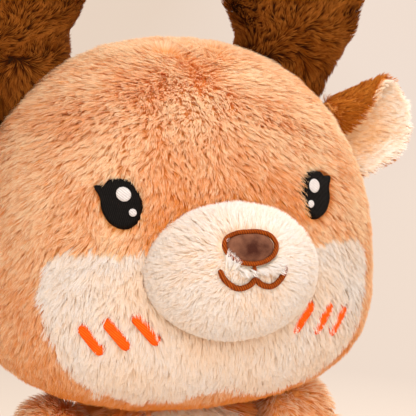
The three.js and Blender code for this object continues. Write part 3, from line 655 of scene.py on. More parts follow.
def suede_material(name, low, high):
    """Short brushed suede: fine nap, with painted shade over its middle and a painted sheen round it."""
    material, tree, shader = fresh_material(name, 0.85, 0.2)
    place = add_node(tree, "TexCoord").outputs
    patches = add_node(tree, "TexNoise", {"Vector": place["Object"], "Scale": 220, "Detail": 4})
    centred = {"Vector": place["Generated"], "Location": (-0.82, 0, -0.95), "Scale": (1.6, 0, 1.6)}
    middle = add_node(tree, "Mapping", centred).outputs["Vector"]
    # Painted shade: a soft dark blot over the pad's middle
    painted_shade = add_node(tree, "TexGradient", {"Vector": middle}, gradient_type="SPHERICAL")
    light = worked_out(tree, "MULTIPLY_ADD", painted_shade.outputs["Fac"], -0.95, patches.outputs["Fac"])
    lift = add_node(tree, "Math", {0: light, 1: 0.3}, operation="ADD", use_clamp=True)
    feed(tree, shader, {"Base Color": mixed(tree, lift.outputs["Value"], low, high)})
    nap = add_node(tree, "TexNoise", {"Vector": place["Object"], "Scale": 1800})
    bumped(tree, shader, nap.outputs["Fac"], 0.9, 0.0004)
    return material


brown_pile = pile_material(
    "brown_pile", (0.80, 0.23, 0.02), (0.92, 0.38, 0.07), (1.0, 0.57, 0.20), (1.0, 0.85, 0.62)
)
cream_pile = pile_material(
    "cream_pile", (1.0, 0.78, 0.55), (1.0, 0.87, 0.73), (0.98, 0.89, 0.80), (0.95, 0.94, 0.94)
)
muzzle_pile = pile_material(
    "muzzle_pile", (1.0, 0.76, 0.52), (1.0, 0.87, 0.73), (0.98, 0.90, 0.81), (0.96, 0.95, 0.95)
)
tan_pile = pile_material(
    "tan_pile", (0.92, 0.56, 0.24), (0.98, 0.68, 0.36), (1.0, 0.88, 0.72), (1.0, 0.97, 0.92)
)
ear_pile = pile_material(
    "ear_pile", (0.30, 0.06, 0.003), (0.46, 0.12, 0.008), (0.48, 0.12, 0.01), (0.74, 0.28, 0.04), glow=0.4
)
dark_pile = pile_material(
    "dark_pile", (0.05, 0.009, 0.001), (0.20, 0.045, 0.002), (0.11, 0.022, 0.001), (0.50, 0.17, 0.025),
    glow=0.3,
)
brown_backing = backing_material("brown_backing", (0.76, 0.32, 0.08), (0.84, 0.40, 0.12))
cream_backing = backing_material("cream_backing", (0.98, 0.76, 0.54), (1.0, 0.84, 0.66))
dark_backing = backing_material("dark_backing", (0.02, 0.006, 0.001), (0.035, 0.012, 0.003))
black_thread = satin_material("black_thread", (0.002, 0.0015, 0.0015), (0.008, 0.006, 0.005), 0.4, 0.7, 0.2)
white_thread = satin_material("white_thread", (0.48, 0.44, 0.43), (0.66, 0.60, 0.58), 0.5, 0.7, 0.9)
orange_thread = satin_material(
    "orange_thread", (0.66, 0.06, 0.002), (0.86, 0.13, 0.006), 0.5, 0.8, STROKE_TURN
)
rust_thread = satin_material("rust_thread", (0.10, 0.014, 0.001), (0.36, 0.070, 0.005), 0.5, 0.8, 0.4)
nose_suede = suede_material("nose_suede", (0.045, 0.008, 0.002), (0.32, 0.13, 0.07))


# Pile: tapered ribbons that lean along a flow, gathered into locks


def roots_on(form, density, seed, faces=None):
    """Seeded places on a form, with normals; density is in strands for each square millimetre."""
    tris = form["tris"] if faces is None else form["tris"][faces]
    a, b, c = (form["verts"][tris[:, k]] for k in range(3))
    area = np.linalg.norm(np.cross(b - a, c - a), axis=1) / 2
    rng = np.random.default_rng(seed)
    count = int(area.sum() * density)
    face = rng.choice(len(area), count, p=area / area.sum())
    u, v = rng.random(count), rng.random(count)
    over = u + v > 1
    u[over], v[over] = 1 - u[over], 1 - v[over]
    w = np.stack([1 - u - v, u, v], 1)[:, :, None]
    place = np.sum(form["verts"][tris[face]] * w, axis=1)
    normal = unit(np.sum(form["normals"][tris[face]] * w, axis=1))
    return place, normal


# A pile's look where its builder says nothing else: lengths in millimetres, and turns in degrees
LOOK = {
    "length": 9, "width": 0.34, "rise": (64, 18), "pull": 0.22, "tuft": 10, "tuft_pull": 0.1, "even": 0.1,
    "wander": 18, "swirl": 14, "swirl_size": 30, "tone": 0.5, "per_lock": 5, "per_tuft": 90,
}
RINGS = np.array((0, 0.42, 0.76, 1))
# How single strands and locks stray, in degrees and in shares of the length and of the tone
STRAND_TURN = 7
LOCK_TURN = 16
STRAND_LENGTH = (0.85, 1.1)
STRAND_TONE = 0.17
LOCK_TONE = 0.14
TONE_DRIFT = 0.18
STRAND_ROLL = 0.5
# A blocked strand is trimmed this often, to this share each time, and left out under the least length
TRIMS = 6
TRIM = 0.72
LEAST_LENGTH = 0.25


def path_of(place, normal, way, length, rise):
    """Each strand's points: it starts steep and ends nearly flat."""
    low, high = np.radians(rise[0]), np.radians(rise[1])
    angle = low + (high - low) * RINGS
    along = ((np.sin(angle) - np.sin(low)) / (high - low))[None, :, None]
    out = ((np.cos(low) - np.cos(angle)) / (high - low))[None, :, None]
    return place[:, None] + length[:, None, None] * (way[:, None] * along + normal[:, None] * out)


def nearest(points, picked):
    tree = KDTree(len(picked))
    for at, place in enumerate(points[picked]):
        tree.insert(place, at)
    tree.balance()
    return picked[np.fromiter((tree.find(place)[1] for place in points), int, len(points))]


def gather(points, leaders, pull):
    """Tips are drawn to those of their leader strand."""
    share = (RINGS**1.3)[None, :, None] * pull
    return points + share * (points[leaders] - points)


def spun(way, normal, degrees):
    """Directions along the skin, turned about its normals."""
    turn = np.radians(degrees)[:, None]
    return way * np.cos(turn) + np.cross(normal, way) * np.sin(turn)


def strands(place, normal, flow, look, seed, blocked=None, length_share=1):
    """Points of every strand and its tone. blocked says which points of the tips may not stay there."""
    look = {**LOOK, **look}
    rng = np.random.default_rng(seed)
    count = len(place)
    way = unit(flow - np.sum(flow * normal, 1, keepdims=True) * normal)
    turn = waves(place, look["swirl_size"], seed + 1) * look["swirl"]
    turn += waves(place, look["tuft"] * 1.3, seed + 2) * look["wander"]
    way = spun(way, normal, turn + rng.normal(0, STRAND_TURN, count))
    length = look["length"] * rng.uniform(*STRAND_LENGTH, count)
    length *= 1 + look["even"] * waves(place, look["tuft"], seed + 3)
    length *= length_share
    locks = rng.choice(np.arange(count), max(2, int(count / look["per_lock"])), replace=False)
    tufts = rng.choice(locks, max(2, int(count / look["per_tuft"])), replace=False)
    lock = nearest(place, locks)
    tuft = nearest(place, tufts)
    way = spun(way, normal, rng.normal(0, LOCK_TURN, count)[lock])
    points = path_of(place, normal, way, length, look["rise"])
    for _ in range(TRIMS if blocked else 0):
        shut = blocked(points[:, -1]) | blocked(points[:, -2])
        length = np.where(shut, length * TRIM, length)
        points = path_of(place, normal, way, length, look["rise"])
    points = gather(points, tuft, look["tuft_pull"])
    points = gather(points, lock, look["pull"])
    kept = length > LEAST_LENGTH * look["length"] * length_share
    if blocked:
        kept &= ~(blocked(points[:, -1]) | blocked(points[:, -2]))
    tone = look["tone"] + TONE_DRIFT * waves(place, 30, seed + 4) + rng.normal(0, LOCK_TONE, count)[lock]
    tone += rng.normal(0, STRAND_TONE, count)
    roll = rng.normal(0, STRAND_ROLL, count)
    return points[kept], normal[kept], np.clip(tone, 0.02, 0.98)[kept], roll[kept], look["width"]


# A ribbon has a left and a right corner at three rings and a single tip
RIBBON_TRIS = np.array(((0, 1, 3), (0, 3, 2), (2, 3, 5), (2, 5, 4), (4, 5, 6)))
RIBBON_TAPER = np.array((1.0, 0.95, 0.62))[None, :, None]
RIBBON_RINGS = np.repeat(RINGS, (2, 2, 2, 1))
RIBBON_CORNERS = 7
RIBBON_ROUND = 0.35

# The most strands in one mesh; a bigger pile is split into panels. A library can still
# open a mesh of this many strands
PANEL_STRANDS = 39000


def pile_piece(name, grown_strands, material, body):
    """The strands as ribbons: two quads and a tip each, in one panel or several."""
    points, normal, tone, roll, width = grown_strands
    around = np.arctan2(points[:, 0, 0] - HEAD[0], points[:, 0, 1] - HEAD[1])
    order = np.lexsort((points[:, 0, 2], around))
    panels = max(1, math.ceil(len(points) / PANEL_STRANDS))
    for panel, rows in enumerate(np.array_split(order, panels)):
        part, up = points[rows], normal[rows][:, None]
        ahead = unit(np.gradient(part, axis=1))
        flat = unit(np.cross(ahead, up))
        over = np.cross(flat, ahead)
        spin = roll[rows][:, None, None]
        flat = flat * np.cos(spin) + over * np.sin(spin)
        half = flat[:, :3] * (RIBBON_TAPER * width / 2)
        pairs = np.stack([part[:, :3] - half, part[:, :3] + half], 2).reshape(len(rows), 6, 3)
        verts = np.concatenate([pairs, part[:, 3:]], 1)
        tris = (np.arange(len(rows))[:, None, None] * RIBBON_CORNERS + RIBBON_TRIS).reshape(-1, 3)
        label = f"{name}_{panel + 1}" if panels > 1 else name
        thing = new_object(label, verts.reshape(-1, 3), tris, material)
        u = np.repeat(tone[rows], RIBBON_CORNERS)
        v = np.tile(RIBBON_RINGS, len(rows)) * 0.98 + 0.01
        uv = np.stack([u, v], 1)[tris.ravel()]
        layer = thing.data.uv_layers.new(name="OFBake")
        layer.data.foreach_set("uv", uv.astype(np.float32).ravel())
        own = np.cross(flat, ahead)
        own *= np.sign(np.sum(own * up, 2, keepdims=True))
        soft = unit(up + RIBBON_ROUND * own)
        soft = np.concatenate([np.repeat(soft[:, :3], 2, axis=1), soft[:, 3:]], 1)
        thing.data.normals_split_custom_set_from_vertices(soft.reshape(-1, 3).astype(np.float32))
        dress(thing, body)


def split_pile(grown_strands, picked, body, plain, other):
    """Two pieces, each given as a name and a material: the strands that aren't picked, and those that are."""
    for (name, material), chosen in ((plain, ~picked), (other, picked)):
        if chosen.any():
            part = tuple(row[chosen] if isinstance(row, np.ndarray) else row for row in grown_strands)
            pile_piece(name, part, material, body)


# Embroidery: a domed patch on a surface


# A patch is a dome with a bump at a share of its way out; a line gets thin over its last steps
DOME_ROUND = 6
RIM_PLACE = 0.86
RIM_WIDTH = 0.09
TAPER_STEPS = 2.5
TAPER_LEAST = 0.12


def satin_patch(node, ending, outline, project, rise, material, rings, rim=0):
    """outline is in the face's plane; project puts (across, up, out) on the surface."""
    middle = outline.mean(0)
    count = len(outline)
    verts = [project(middle[None], np.array([rise]))[0]]
    for step in range(1, rings + 1):
        share = step / rings
        ring = middle + (outline - middle) * share
        bump = rim * math.exp(-((share - RIM_PLACE) / RIM_WIDTH) ** 2)
        height = rise * math.sqrt(max(0, 1 - share**DOME_ROUND)) + bump
        verts += list(project(ring, np.full(count, height)))
    verts += list(project(outline, np.full(count, -PATCH_DEPTH)))
    verts = np.array(verts)
    tris = [(0, 1 + k, 1 + (k + 1) % count) for k in range(count)]
    for ring in range(rings):
        tris += band(1 + ring * count, 1 + (ring + 1) * count, count, turned=True)
    tris = np.array(tris)
    if form_of(verts, tris)["normals"][0][1] > 0:
        tris = tris[:, ::-1]
    dress(new_object(f"{node}_{ending}", verts, tris, material), "head", [node])


def tube_piece(name, line, radius, nodes, closed, around=10):
    """A raised satin line: a tube that tapers at its free ends."""
    count = len(line)
    if closed:
        ahead = unit(np.roll(line, -1, 0) - np.roll(line, 1, 0))
    else:
        ahead = unit(np.gradient(line, axis=0))
    out = unit(np.cross(ahead, (0, 1, 0)))
    front = np.cross(out, ahead)
    thick = np.full(count, float(radius))
    if not closed:
        steps = np.arange(count)
        near_end = np.minimum(steps, count - 1 - steps) / TAPER_STEPS
        thick *= np.sqrt(np.clip(1 - (1 - np.minimum(near_end, 1)) ** 2, TAPER_LEAST, 1))
    verts = []
    for k in range(around):
        turn = 2 * math.pi * k / around
        verts.append(line + thick[:, None] * (out * math.cos(turn) + front * math.sin(turn)))
    verts = np.stack(verts, 1).reshape(-1, 3)
    tris = []
    for at in range(count if closed else count - 1):
        tris += band(at * around, (at + 1) % count * around, around, turned=True)
    if not closed:
        last = (count - 1) * around
        for k in range(1, around - 1):
            tris += [(0, k, k + 1), (last, last + k + 1, last + k)]
    tris = np.array(tris)
    normals = form_of(verts, tris)["normals"]
    if np.sum(normals[:around] * (verts[:around] - line[0])) < 0:
        tris = tris[:, ::-1]
    dress(new_object(name, verts, tris, rust_thread), "head", nodes)


def on_head(depth):
    """Puts points of the face's plane at a depth under the head's outer face."""

    def project(flat, out):
        across, up = flat[:, 0], flat[:, 1]
        tall, roundness = head_curve(up, 0)
        ring = (1 - (np.abs(up) / tall) ** roundness) ** (HEAD_PLAN / roundness)
        deep = (ring - (np.abs(across) / HEAD_HALF_WIDTH) ** HEAD_PLAN) ** (1 / HEAD_PLAN)
        place = np.stack([across, -HEAD_HALF_DEPTH * deep, up], 1)
        steps = np.eye(3) * 0.05
        slope = np.stack([head_level(place + step, 0) - head_level(place - step, 0) for step in steps], 1)
        return place + unit(slope) * (out - depth)[:, None] + HEAD

    return project


def on_muzzle(flat, out):
    """Puts points of the face's plane on the muzzle's cloth, or at a height over it."""
    half = np.array(MUZZLE_HALF)
    across, up = flat[:, 0], flat[:, 1]
    flatter = (across / half[0]) ** 2 + ((up - MUZZLE_MIDDLE[2]) / half[2]) ** 2
    place = np.stack([across, MUZZLE_MIDDLE[1] - half[1] * np.sqrt(np.maximum(0, 1 - flatter)), up], 1)
    slope = (place - np.array(MUZZLE_MIDDLE)) / half**2
    return place + unit(slope) * (out - SHORT_PILE)[:, None] + HEAD


def muzzle_plane(up):
    """The point of the muzzle at a height over its middle, and how a step up its surface tilts."""
    half = np.array(MUZZLE_HALF)
    deep = math.sqrt(1 - (up / half[2]) ** 2)
    slope = unit(np.array((0, -deep / half[1], up / half[2] ** 2)))
    return up + MUZZLE_MIDDLE[2], -slope[1]


def face_squeeze(across, up):
    """How much shorter a millimetre across and one up the head's face look, seen from the front."""
    spots = on_head(0)(np.array([(across, up), (across + 1, up), (across, up + 1)]), np.zeros(3))
    return 1 / np.linalg.norm(spots[1] - spots[0]), 1 / np.linalg.norm(spots[2] - spots[0])


def eye_outline(side):
    shares = np.array(EYE_SHARES) * (side * EYE_HALF_WIDTH, EYE_HALF_HEIGHT)
    return catmull(shares * face_squeeze(EYE_ACROSS, EYE_UP) + (side * EYE_ACROSS, EYE_UP), 4, True)


def stroke_outline(side, across, up):
    turns = np.linspace(-np.pi / 2, np.pi / 2, 9)
    end = np.stack([np.cos(turns), np.sin(turns)], 1) * STROKE_HALF_WIDTH
    end[:, 0] += STROKE_HALF_LENGTH - STROKE_HALF_WIDTH
    turn = side * STROKE_TURN
    spin = np.array(((math.cos(turn), math.sin(turn)), (-math.sin(turn), math.cos(turn))))
    return np.concatenate([end, -end]) @ spin * face_squeeze(across, up) + (side * across, up)


def circle_outline(radius, across, up, count=28):
    turns = np.linspace(0, 2 * np.pi, count, endpoint=False)
    return np.stack([across + radius * np.cos(turns), up + radius * np.sin(turns)], 1)


def nose_outline():
    up, tilt = muzzle_plane(NOSE_UP)
    return catmull(np.array(NOSE_SHARES) * (NOSE_HALF_WIDTH, NOSE_HALF_HEIGHT * tilt) + (0, up), 5, True)


def mask_outline(shares, short, top_lap):
    top, chin = MASK_TOP + top_lap, MASK_CHIN - short
    half = [(x * (MASK_HALF_WIDTH - short), z * (top if z > 0 else chin)) for x, z in shares]
    other = [(-x, z) for x, z in reversed(half[1:-1])]
    return catmull(half + other, 4, True)


EYES = {side: eye_outline(side) for _, side in SIDES}
STROKES = {
    (label, at + 1): stroke_outline(side, across, up)
    for label, side in SIDES for at, (across, up) in enumerate(STROKE_SPOTS)
}
NOSE = nose_outline()
MASK = mask_outline(MASK_SHARES, 0, 0)
MASK_ROOTS = mask_outline((*MASK_SHARES[:-3], *FRINGE_SHARES), FRINGE, MASK_TOP_LAP)


def in_mask(points):
    near = points - HEAD
    ragged = waves(points, 9, 71) * 1.6 + waves(points, 3, 72) * 0.8
    return inside(MASK_ROOTS, near[:, 0] + ragged, near[:, 2] + ragged) & (near[:, 1] < -MASK_REACH)


def sunk(outline, project, out):
    """The outline of a patch, seen from the front, where its place between the strands puts it."""
    return (project(outline, np.full(len(outline), out)) - HEAD)[:, (0, 2)]


def on_stitches(out, grow, lap):
    """Says which points lie over an eye or a cheek stroke, seen from the front. lap scales its laps."""
    project = on_head(STITCH_SUNK)
    outlines = []
    for label, side in SIDES:
        outlines.append(grown(sunk(EYES[side], project, out), grow) + np.array(EYE_LAPS[label]) * lap)
    for (label, at), outline in STROKES.items():
        shift = np.array(STROKE_LAPS[label][at - 1]) * lap
        outlines.append(grown(sunk(outline, project, out), grow - STROKE_CLOSE[label] * lap) + shift)

    def check(points):
        spots = (points - HEAD)[:, (0, 2)]
        front = points[:, 1] < HEAD[1]
        found = np.zeros(len(points), bool)
        for outline in outlines:
            close = np.all((spots > outline.min(0)) & (spots < outline.max(0)), axis=1)
            rows = np.flatnonzero(front & close)
            found[rows] |= inside(outline, *spots[rows].T)
        return found

    return check


def in_antlers(points, grow):
    near = points - HEAD
    found = np.zeros(len(points), bool)
    for (x1, z1), (x2, z2), r1, r2 in ANTLER_LIMBS:
        start, way = np.array((x1, 0, z1)), np.array((x2 - x1, 0, z2 - z1))
        deep = (near[:, 1] - ANTLER_BACK) / ANTLER_FLATNESS
        spot = np.stack([np.abs(near[:, 0]), deep, near[:, 2]], 1) - start
        share = np.clip(spot @ way / (way @ way), 0, 1)
        gap = np.linalg.norm(spot - share[:, None] * way, axis=1)
        found |= gap < r1 + (r2 - r1) * share + grow
    return found


NOSE_ROOTS = sunk(NOSE, on_muzzle, 0)


# Head


def head_flow(points):
    """Away from a whorl over the crown, then down, with loose swirls."""
    loose = np.stack([waves(points, 26, seed) for seed in (15, 16, 17)], 1) * 14
    return points - HEAD - np.array(WHORL) - (0, 0, 14) + loose


def build_head():
    form = head_form(PILE, 6)
    near = middles(form) - HEAD
    front = near[:, 1] < HEAD_SEAM_BACK
    mask = inside(MASK, near[:, 0], near[:, 2]) & (near[:, 1] < -MASK_REACH)
    for name, faces, backing, nodes in (
        ("head_front_cloth", front & ~mask, brown_backing, ["head_front_panel", "head_stuffing"]),
        ("head_back_cloth", ~front, brown_backing, ["head_back_panel"]),
        ("face_cloth", mask, cream_backing, ["face_panel"]),
    ):
        skin_piece(name, form, faces, backing, "head", nodes)

    under = (near[:, 2] < -HEAD_CHIN * 0.8) & (np.hypot(near[:, 0], near[:, 1]) < NECK_RADIUS)
    for name, faces, density, width, seed in (
        ("head_front_pile", front & ~under, 3.6, 0.34, 11),
        ("head_back_pile", ~front & ~under, 0.95, 0.8, 12),
    ):
        # No strand grows inside the muzzle or an antler, or under a patch
        place, normal = roots_on(form, density, seed, faces)
        level = muzzle_level(place - HEAD, SHORT_PILE - 0.5)
        free = (level > 1) & ~in_antlers(place, -4) & ~on_stitches(STITCH_SUNK - PILE, -1.2, 0)(place)
        place, normal, level = place[free], normal[free], level[free]
        # Painted shade: darker further down, under the chin and round the muzzle. Darker on the bridge, and
        # paler on the crown as painted light from above
        spot = place - HEAD
        low, chin = fade(spot[:, 2], 35, -60), fade(spot[:, 2], -36, -20)
        tone = 0.7 - 0.3 * low - 1.0 * chin - 0.6 * np.exp(-np.maximum(0, level - 1) / 0.6)
        tone += 0.36 * bell(np.linalg.norm(spot - CROWN, axis=1), 36)
        tone -= 0.4 * bell(np.linalg.norm(spot - BRIDGE, axis=1), 26)
        look = {"width": width, "per_tuft": 70, "tone": tone}
        shares = 1 - 0.12 * bell(spot[:, 1] + 100, 38)
        blocked = on_stitches(1.6, 0, 1)
        grown_strands = strands(place, normal, head_flow(place), look, seed, blocked, shares)
        cream = in_mask(grown_strands[0][:, 1])
        split_pile(grown_strands, cream, "head", (name, brown_pile), ("face_pile", cream_pile))


def build_muzzle():
    form = muzzle_form(SHORT_PILE, 5)
    proud = head_level(middles(form) - HEAD, PILE) > 1
    skin_piece("muzzle_cloth", form, proud, cream_backing, "head", ["muzzle_skin", "muzzle_stuffing"])
    place, normal = roots_on(form, 5.2, 21, proud)
    near = place - HEAD
    flow = near - (0, MUZZLE_MIDDLE[1] - MUZZLE_HALF[1], NOSE[:, 1].mean())
    far = np.linalg.norm(flow, axis=1)
    flow[:, 2] -= 4
    over = grown(sunk(NOSE, on_muzzle, 3), -0.2)

    def blocked(points):
        spot = points - HEAD
        return inside(over, spot[:, 0], spot[:, 2]) & (spot[:, 1] < MUZZLE_MIDDLE[1])

    # Shorter by the nose and at the muzzle's own edge, and longer on top
    free = ~inside(NOSE_ROOTS, near[:, 0], near[:, 2])
    place, normal, flow, far = place[free], normal[free], flow[free], far[free]
    shares = np.clip(0.5 + far / 55, 0.55, 1.1) * (0.45 + 0.55 * fade(head_level(place - HEAD, 0), 1, 0.25))
    shares *= 0.8 + 0.55 * fade(place[:, 2] - HEAD[2] - MUZZLE_MIDDLE[2], 8, 20)
    look = {
        "length": 6.6, "width": 0.3, "per_lock": 6, "per_tuft": 120, "wander": 24, "swirl": 12,
        "rise": (66, 22), "pull": 0.13, "tone": 0.6, "even": 0.06,
    }
    pile_piece("muzzle_pile", strands(place, normal, flow, look, 21, blocked, shares), muzzle_pile, "head")

    # Two tufts fluff up between the nose and the mouth
    place, normal = roots_on(form, 9, 23, proud)
    across, up = (place - HEAD)[:, 0], (place - HEAD)[:, 2]
    low, high = NOSE[:, 1].min() - 3.2, NOSE[:, 1].min() + 2.5
    side_rise = 0.45 * np.maximum(0, -across)
    tuft = (np.abs(across) < 12) & (up > low) & (up < high + side_rise) & ~inside(NOSE_ROOTS, across, up)
    place, normal, outer = place[tuft], normal[tuft], across[tuft] < -7
    flow = np.stack([np.where(outer, 0.1, 0.5), np.full(len(place), -0.6), np.where(outer, 0.7, -0.7)], 1)
    look = {
        "length": 7, "width": 0.3, "per_lock": 6, "per_tuft": 60, "wander": 30, "swirl": 14,
        "rise": (80, 36), "pull": 0.2, "tone": 0.9,
    }
    pile_piece("muzzle_tufts", strands(place, normal, flow, look, 23), muzzle_pile, "head")


def build_nose():
    pad = grown(NOSE, -0.45 * NOSE_BORDER)
    satin_patch("nose_pad", "suede", pad, on_muzzle, NOSE_PROUD, nose_suede, rings=10)
    middle = grown(NOSE, -NOSE_BORDER / 2)
    line = on_muzzle(middle, np.full(len(middle), BORDER_PROUD))
    tube_piece("nose_border_stitch", line, NOSE_BORDER / 2 - 0.1, ["nose_border"], closed=True)


def build_mouth():
    up, tilt = muzzle_plane(MOUTH_UP)
    half = [(x * MOUTH_HALF_WIDTH, z * MOUTH_RISE * tilt + up) for x, z in MOUTH_SHARES]
    right = catmull(half, 7, False)
    left = [(-x, z) for x, z in right[:-1]][::-1]
    line = np.array(list(right) + left)
    path = on_muzzle(line, np.full(len(line), MOUTH_PROUD))
    tube_piece("mouth_stitch", path, MOUTH_LINE / 2, ["mouth_stitching"], closed=False)
    low = MOUTH_SHARES[-1][1] * MOUTH_RISE * tilt + up
    stem = np.stack([np.zeros(8), np.linspace(up + PHILTRUM_TOP * tilt, low, 8)], 1)
    path = on_muzzle(stem, np.full(8, STEM_PROUD))
    tube_piece("mouth_stem_stitch", path, MOUTH_LINE / 2 - 0.3, [], closed=False)


def build_eyes():
    sewn, lifted = on_head(STITCH_SUNK), on_head(STITCH_SUNK - GLINT_LIFT)
    for label, side in SIDES:
        satin_patch(
            f"eye_{label}", "stitch", EYES[side], sewn, EYE_PROUD, black_thread, rings=14, rim=EYE_RIM
        )
        for kind, radius, across, up in GLINTS:
            outline = circle_outline(radius, side * (EYE_ACROSS + across), EYE_UP + up)
            node = f"eye_glint_{kind}_{label}"
            satin_patch(node, "stitch", outline, lifted, GLINT_PROUD, white_thread, rings=6)


def build_strokes():
    for (label, at), outline in STROKES.items():
        node = f"cheek_stroke_{label}_{at}"
        satin_patch(node, "stitch", outline, on_head(STITCH_SUNK), STROKE_PROUD, orange_thread, rings=8)


# Antlers


def antler_cloth(label, side):
    """Three tapered tubes joined into one soft form."""
    verts, tris = [], []
    for (x1, z1), (x2, z2), r1, r2 in ANTLER_LIMBS:
        part, faces = capsule((x1, 0, z1), (x2, 0, z2), r1 - ANTLER_PILE, r2 - ANTLER_PILE)
        tris += (faces + len(verts)).tolist()
        verts += part.tolist()
    verts = np.array(verts) * (side, ANTLER_FLATNESS, 1) + (0, ANTLER_BACK, 0) + HEAD
    tris = np.array(tris)
    thing = new_object(f"antler_{label}_cloth", verts, tris[:, ::-1] if side < 0 else tris, dark_backing)
    remesh = thing.modifiers.new("Join", "REMESH")
    remesh.mode = "VOXEL"
    remesh.voxel_size = 2.4 * MM
    soften = thing.modifiers.new("Soften", "SMOOTH")
    soften.factor = 0.5
    soften.iterations = 8
    shape = thing.evaluated_get(bpy.context.evaluated_depsgraph_get())
    mesh = bpy.data.meshes.new_from_object(shape)
    bpy.data.objects.remove(thing)
    mesh.calc_loop_triangles()
    verts = np.array([corner.co[:] for corner in mesh.vertices]) / MM
    return form_of(verts, [tri.vertices[:] for tri in mesh.loop_triangles])


def build_antlers():
    look = {
        "length": 7, "width": 0.36, "per_lock": 7, "per_tuft": 140, "wander": 35, "swirl": 70,
        "swirl_size": 26, "rise": (62, 14), "tone": 0.42, "pull": 0.3,
    }
    for label, side in SIDES:
        form = antler_cloth(label, side)
        outer = head_level(middles(form) - HEAD, PILE + 3) > 1
        nodes = [f"antler_{label}_skin", f"antler_{label}_stuffing"]
        skin_piece(f"antler_{label}_cloth", form, outer, dark_backing, "head", nodes)
        seed = 31 + (side > 0)
        place, normal = roots_on(form, 2.8, seed, outer)
        # The strands lie down and grow longer where the antler meets the head
        low = np.exp(-np.clip((place - HEAD)[:, 2] - 95, 0, None) / 14)
        flow = np.stack([0.5 * side * waves(place, 40, 33), 0.4 * waves(place, 40, 34), 0.8 - 2.2 * low], 1)
        grown_strands = strands(place, normal, flow, look, seed, None, 0.9 + 0.5 * low)
        pile_piece(f"antler_{label}_pile", grown_strands, dark_pile, "head")


# Ears


def build_ears():
    for label, side in SIDES:
        along, up, _ = ear_axes(side)
        for layer, near, far, material, backing, first_seed in (
            ("back", -EAR_LAYER + EAR_PILE, 0, ear_pile, brown_backing, 41),
            ("front", 0.2, EAR_LAYER - EAR_PILE, tan_pile, cream_backing, 43),
        ):
            piece, body, seed = f"ear_{label}_{layer}", f"ear_{label}", first_seed + (side > 0)
            form, marks = ear_sheet(side, near, far)
            skin_piece(f"{piece}_cloth", form, None, backing, body, [piece])
            share, across, off = np.moveaxis(marks[form["tris"]], 2, 0)
            share, off = share.mean(1), off.mean(1)
            face = off < near + 0.1 if layer == "back" else off > far - 0.1
            if layer == "front":
                face |= (np.abs(across).min(1) > 0.99) | (share > 0.97)
            # The strands lean to the tip and away from the middle, and the edges are paler
            place, normal = roots_on(form, 4.2, seed, face & (share > 0.01))
            higher = (place - HEAD) @ up - EAR_UP * math.cos(EAR_TILT)
            flow = along - 0.2 * np.array((0, 0, 1)) + 0.012 * higher[:, None] * up
            spot = place - ear_place(side)
            edge = np.maximum(spot @ along / EAR_LENGTH, np.abs(spot @ up) / EAR_HALF_WIDTH)
            look = {
                "length": 5.4, "width": 0.32, "per_lock": 8, "per_tuft": 120, "wander": 16, "swirl": 10,
                "rise": (48, 10), "tone": 0.1 + 0.9 * fade(edge, 0.45, 0.4), "pull": 0.2,
            }
            pile_piece(f"{piece}_pile", strands(place, normal, flow, look, seed), material, body)


# Body


def in_belly(points):
    near = points - SHIFT
    ragged = waves(points, 9, 81) * 1.5
    across = np.abs((near[:, 0] + ragged) / BELLY_HALF_WIDTH) ** BELLY_ROUND
    tall = np.abs((near[:, 2] + ragged - BELLY_HEIGHT) / BELLY_HALF_HEIGHT) ** BELLY_ROUND
    return (across + tall < 1) & (near[:, 1] < 0)


def torso_level(points, inset):
    """Under 1 inside the torso."""
    near = points - SHIFT
    below = near[:, 2] < TORSO_WIDEST
    roundness = np.where(below, TORSO_BASE_ROUND, TORSO_TOP_ROUND)
    tall = np.where(below, TORSO_WIDEST, TORSO_HEIGHT - TORSO_WIDEST) - inset
    wide = np.hypot(near[:, 0] / (TORSO_HALF_WIDTH - inset), near[:, 1] / (TORSO_HALF_DEPTH - inset))
    return wide**roundness + (np.abs(near[:, 2] - TORSO_WIDEST) / tall) ** roundness


def limb_sockets(points, grow):
    found = np.zeros(len(points), bool)
    for label, _ in SIDES:
        for kind, limb in LIMBS.items():
            gap = np.linalg.norm(points - limb_joint(label, kind), axis=1)
            found |= gap < limb["root"] + grow
    return found


def under_floor(points):
    return points[:, 2] < FLOOR_CLEAR


def build_torso():
    form = torso_form(PILE, 96, 90)
    middle = middles(form)
    belly = in_belly(middle)
    low = middle[:, 2] < FLOOR_BARE
    hidden = head_level(middle - HEAD, PILE) < 1
    nodes = ["torso_skin", "torso_stuffing", "pellet_bag"]
    skin_piece("torso_cloth", form, ~belly & ~hidden, brown_backing, "torso", nodes)
    skin_piece("belly_cloth", form, belly & ~hidden, cream_backing, "torso", ["belly_panel"])
    place, normal = roots_on(form, 1.5, 51, ~low & ~hidden)
    free = ~limb_sockets(place, -5)
    place, normal = place[free], normal[free]
    # Darker under the head as painted shade, and longer there; shorter near the floor
    tone = 0.6 - 0.6 * fade(place[:, 2], 110, 20)
    look = {"length": 7.5, "width": 0.5, "per_lock": 6, "per_tuft": 80, "tone": tone}
    shares = fade(place[:, 2], FLOOR_BARE, 14, 0.3) + 0.7 * fade(place[:, 2], 100, 20)
    grown_strands = strands(place, normal, np.array((0, 0, -1.0)), look, 51, under_floor, shares)
    cream = in_belly(grown_strands[0][:, -1])
    split_pile(grown_strands, cream, "torso", ("torso_pile", brown_pile), ("belly_pile", cream_pile))


